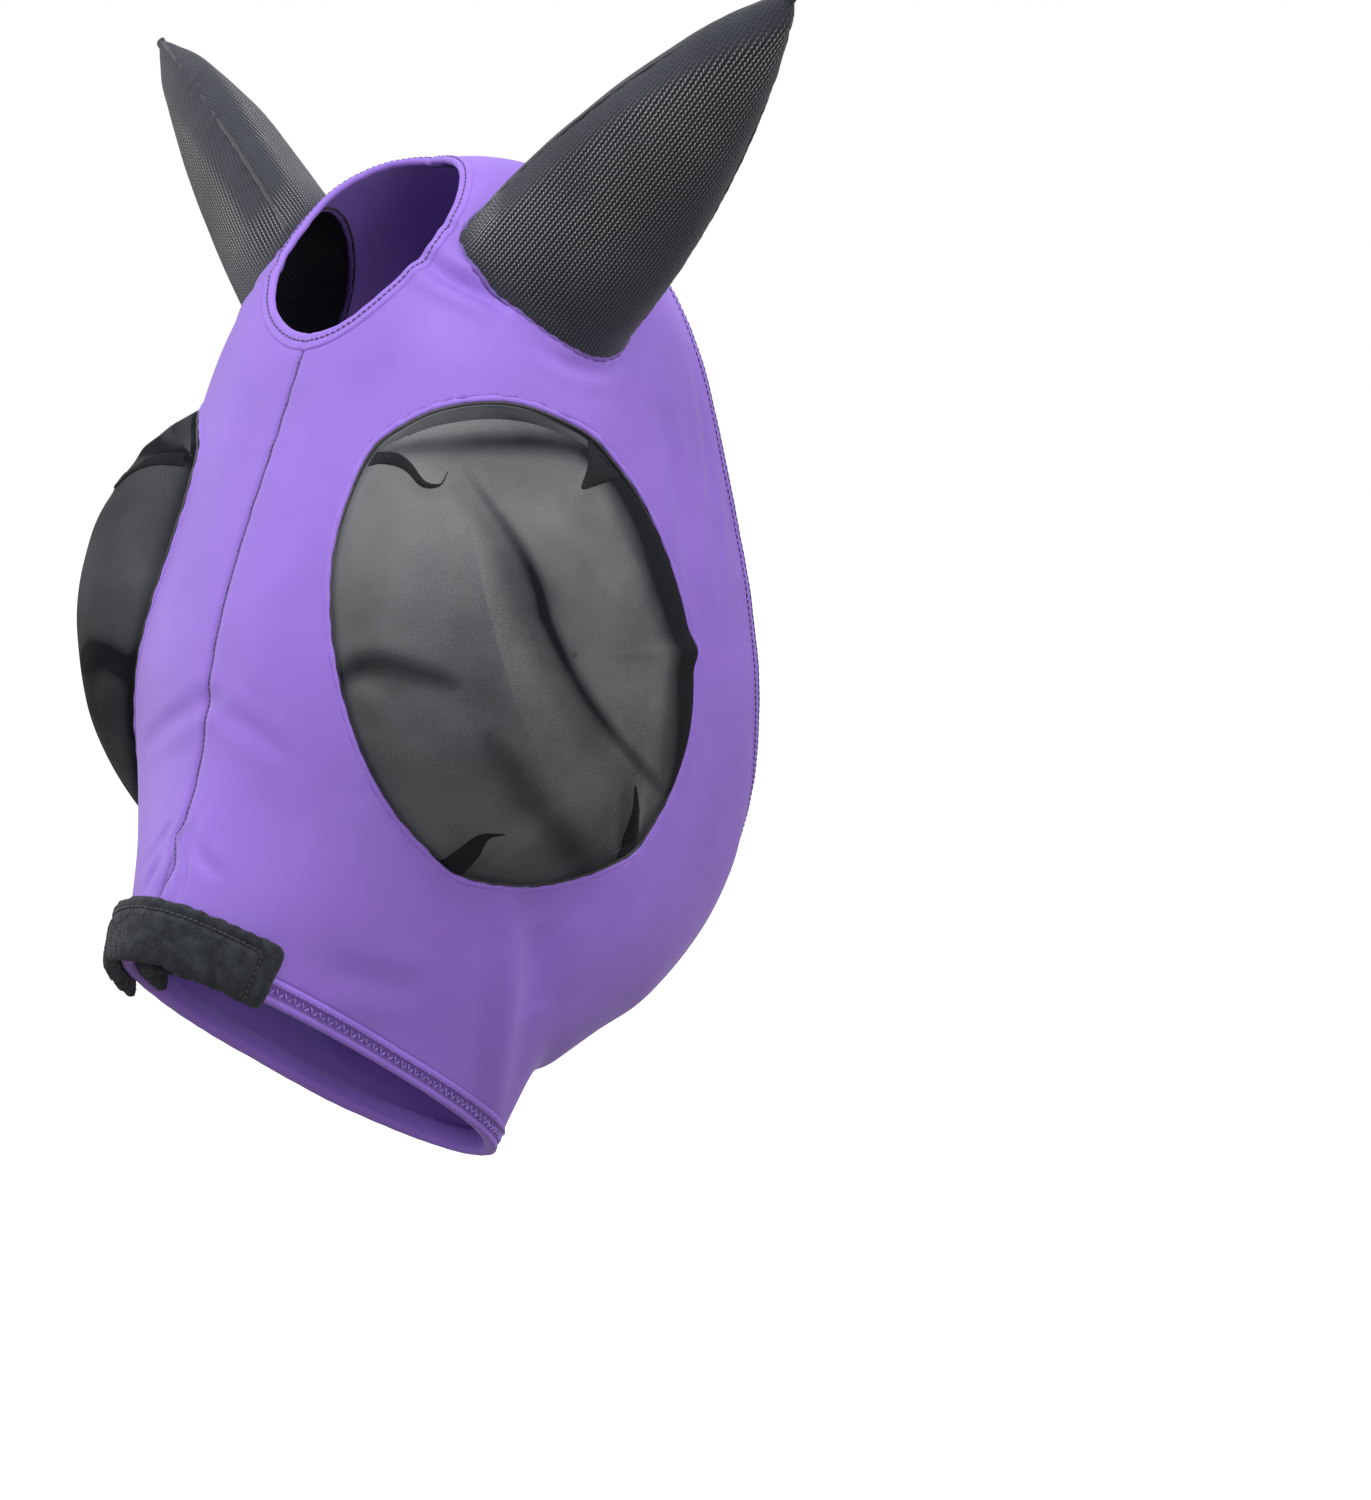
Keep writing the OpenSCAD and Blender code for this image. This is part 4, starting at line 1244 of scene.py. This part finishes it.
def swell(piece):
    """Blows the pad up as cloth under a little pressure, then limits how far each point moved."""
    remesh = piece.modifiers.new("Even", "REMESH")
    remesh.mode = "VOXEL"
    remesh.voxel_size = PAD_VOXEL * MM
    bake_modifiers(piece)
    rest = vertex_values(piece.data, "co") / MM
    cloth = piece.modifiers.new("Cloth", "CLOTH")
    cloth.settings.use_pressure = True
    cloth.settings.uniform_pressure_force = 4
    cloth.settings.effector_weights.gravity = 0
    cloth.settings.quality = 6
    scene = bpy.context.scene
    cloth.point_cache.frame_end = 20
    for number in range(1, 21):
        scene.frame_set(number)
    bake_modifiers(piece)
    scene.frame_set(1)
    moved = vertex_values(piece.data, "co") / MM - rest
    size = np.linalg.norm(moved, axis=1, keepdims=True)
    return rest + moved * np.minimum(1, PAD_SWELL / np.maximum(size, 1e-6))


def vertex_values(mesh, what):
    values = np.zeros(len(mesh.vertices) * 3, np.float32)
    mesh.vertices.foreach_get(what, values)
    return values.reshape(-1, 3).astype(float)


def set_points(piece, points):
    piece.data.vertices.foreach_set("co", (points * MM).astype(np.float32).ravel())
    piece.data.update()


def bake_modifiers(piece):
    """Replaces a piece's mesh with its result, and removes the modifiers."""
    bpy.context.view_layer.update()
    dg = bpy.context.evaluated_depsgraph_get()
    mesh = bpy.data.meshes.new_from_object(piece.evaluated_get(dg))
    piece.modifiers.clear()
    piece.data = mesh
    mesh.shade_smooth()


def pad_stitch_path():
    side = PAD_HALF_ANGLE - 6
    top = PAD_ABOVE - 7
    left = [(d, side) for d in np.linspace(3 - PAD_BELOW, top - 1.5, 8)]
    over = [(top, p) for p in np.linspace(side - 1.5, 1.5 - side, 60)]
    right = [(d, -side) for d in np.linspace(top - 1.5, 3 - PAD_BELOW, 8)]
    return np.array(left + over + right)


def nose_pads():
    for layer in ("outer", "inner"):
        piece = make_piece(f"nose_pad_{layer}", *pad_form(layer), "fleece", "fleece")
        set_points(piece, swell(piece))
        divide = piece.modifiers.new("Smooth", "SUBSURF")
        divide.levels = 1
        divide.render_levels = 1
        bake_modifiers(piece)
        points = sew_groove(vertex_values(piece.data, "co") / MM, layer)
        crinkle = 0.14 * soft_noise(points, 9, 41) + 0.08 * soft_noise(points, 3.5, 42)
        set_points(piece, points + vertex_values(piece.data, "normal") * crinkle[:, None])
        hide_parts(f"nose_fleece_{layer}")
        pile(piece, layer)
    pad_topstitch()


def groove_line(n):
    path = pad_stitch_path()
    t = 1 - path[:, 0] / end_speed(1, path[:, 1])
    line = skin(t, path[:, 1]) + outward(t, path[:, 1]) * n
    return line, outward(t, path[:, 1])


def sew_groove(points, layer):
    """Presses the pad in along its row of stitches."""
    sign = 1 if layer == "outer" else -1
    line, ups = groove_line(pad_loop(layer)[2] + sign * PAD_LAYER / 2)
    best = np.full(len(points), 1e9)
    push = np.zeros((len(points), 3))
    for row in resample(np.hstack([line, ups]), 1.0, False):
        d = np.linalg.norm(points - row[:3], axis=1)
        closer = d < best
        best[closer] = d[closer]
        push[closer] = row[3:]
    return points - sign * push * (2.3 * bell(best, 1.9))[:, None]


def pile(piece, layer):
    """Short soft fibres standing on the fleece."""
    seed, count = (51, 16000) if layer == "outer" else (52, 8000)
    rng = np.random.default_rng(seed)
    mesh = piece.data
    mesh.calc_loop_triangles()
    tri = np.zeros(len(mesh.loop_triangles) * 3, np.int32)
    mesh.loop_triangles.foreach_get("vertices", tri)
    tri = tri.reshape(-1, 3)
    points = vertex_values(mesh, "co") / MM
    normals = vertex_values(mesh, "normal")
    a, b, c = points[tri[:, 0]], points[tri[:, 1]], points[tri[:, 2]]
    area = np.linalg.norm(np.cross(b - a, c - a), axis=1)
    pick = rng.choice(len(tri), count, p=area / area.sum())
    w = rng.dirichlet((1, 1, 1), count)[..., None]
    root = a[pick] * w[:, 0] + b[pick] * w[:, 1] + c[pick] * w[:, 2]
    up = unit(normals[tri[pick]].mean(1) + rng.normal(0, 0.55, (count, 3)))
    side = unit(np.cross(up, rng.normal(0, 1, (count, 3)))) * rng.uniform(0.08, 0.15, (count, 1))
    tall = rng.uniform(0.25, 0.6, (count, 1))
    in_groove = nearest_on(root, groove_line(pad_loop(layer)[2])[0])[0] < PAD_LAYER / 2 + 0.6
    tall = np.where(in_groove[:, None], 0.1, tall)
    lean = rng.normal(0, 0.3, (count, 3))
    middle = root + up * tall * 0.6
    tip = root + (up + lean) * tall
    verts = np.stack([root - side - up * 0.3, root + side - up * 0.3, middle + side * 0.8,
                      tip, middle - side * 0.8], 1)
    faces = np.arange(count * 5).reshape(-1, 5)
    make_piece(f"nose_pad_{layer}_pile", verts, faces, "pile", "fleece")


def pad_topstitch():
    line, ups = groove_line(FABRIC + JERSEY + PAD_LAYER - 2.5)
    make_piece("nose_pad_stitches", *stitch_row(line, ups, 2.8, False, 0.5, 0.0, 0.95), "black_thread",
               "black_thread", "nose_fleece_stitching")


# ---------------------------------------------------------------- carried-over parts

def dress_elastics():
    for node in ("neck_elastic", "nose_elastic"):
        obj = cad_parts[node]
        obj.data.materials.clear()
        obj.data.materials.append(MATERIALS["elastic"])


# ---------------------------------------------------------------- floor, light, camera

def stage_floor():
    size = 30.0
    z = -0.60
    mesh = bpy.data.meshes.new("floor")
    mesh.from_pydata([(-size, -size, z), (size, -size, z), (size, size, z), (-size, size, z)], [],
                     [(0, 1, 2, 3)])
    floor = add_object("floor", mesh)
    material, _, _ = new_material("floor_pale", (0.80, 0.80, 0.80), 0.95, Specular_IOR_Level=0.0,
                                  Emission_Color=(1, 1, 1, 1), Emission_Strength=0.55)
    mesh.materials.append(material)
    floor.visible_diffuse = False
    floor.visible_glossy = False


def area_light(name, place, size, power):
    data = bpy.data.lights.new(name, "AREA")
    data.shape = "DISK"
    data.size = size
    data.energy = power
    light = add_object(name, data)
    light.location = place
    light.rotation_mode = "QUATERNION"
    light.rotation_quaternion = (Vector(place) - Vector((0, -0.06, -0.2))).to_track_quat("Z", "Y")


def studio_light():
    world = bpy.data.worlds.new("studio")
    bpy.context.scene.world = world
    world.use_nodes = True
    tree = world.node_tree
    tree.nodes.clear()
    seen = add_node(tree, "ShaderNodeBackground", Color=(1, 1, 1, 1), Strength=1.0)
    direction = add_node(tree, "ShaderNodeTexCoord").outputs["Generated"]
    height = add_node(tree, "ShaderNodeSeparateXYZ", [("Vector", direction)]).outputs["Z"]
    sky = ramp_output(tree, math_node(tree, "ADD", math_node(tree, "MULTIPLY", height, 0.5), 0.5), [
        (0.10, (0.25, 0.22, 0.21)), (0.50, (0.43, 0.42, 0.43)), (0.85, (0.72, 0.74, 0.78))])
    fill = add_node(tree, "ShaderNodeBackground", [("Color", sky)], Strength=1.0)
    path = add_node(tree, "ShaderNodeLightPath")
    mix = add_node(tree, "ShaderNodeMixShader")
    tree.links.new(path.outputs["Is Camera Ray"], mix.inputs[0])
    tree.links.new(fill.outputs[0], mix.inputs[1])
    tree.links.new(seen.outputs[0], mix.inputs[2])
    out = add_node(tree, "ShaderNodeOutputWorld")
    tree.links.new(mix.outputs[0], out.inputs["Surface"])
    area_light("key", (0.6, -1.2, 2.3), 1.2, 50)
    area_light("left_fill", (-2.1, -1.0, 0.25), 1.6, 26)
    area_light("low_fill", (2.2, -1.2, -0.15), 0.8, 18)
    area_light("rim", (1.6, 0.9, 1.4), 1.0, 20)


def photo_camera():
    """Looks from 40 degrees to the left of the mask's front, slightly above it, with a long lens."""
    distance, aside, below = 2.4, 0.11791, 0.27209
    azimuth, elevation = math.radians(40), math.radians(3)
    back = Vector((math.sin(azimuth) * math.cos(elevation),
                   -math.cos(azimuth) * math.cos(elevation), math.sin(elevation)))
    right = Vector((math.cos(azimuth), math.sin(azimuth), 0))
    data = bpy.data.cameras.new("camera")
    data.sensor_fit = "AUTO"
    data.sensor_width = 36
    data.lens = 123.84
    camera = add_object("camera", data)
    camera.rotation_mode = "QUATERNION"
    camera.rotation_quaternion = back.to_track_quat("Z", "Y")
    camera.location = back * distance + right * aside - back.cross(right) * below
    bpy.context.scene.camera = camera


def build():
    bpy.context.scene.view_settings.view_transform = "Standard"
    photo_camera()
    studio_light()
    stage_floor()
    hood_panels()
    folded_hem(0, "neck")
    folded_hem(1, "nose")
    hem_stitching(0, "neck", [(2.6, 1.75, 3.2, 0.36, 0.0), (8.4, 1.75, 3.2, 0.36, 0.0)], "purple_thread")
    hem_stitching(1, "nose", [(6.3, 1.55, 2.5, 0.55, 1.7), (9.6, 2.5, 2.6, 0.28, 0.0)], "hem_thread")
    forelock_edge()
    centre_seams()
    eye_domes()
    ears()
    nose_pads()
    dress_elastics()


build()
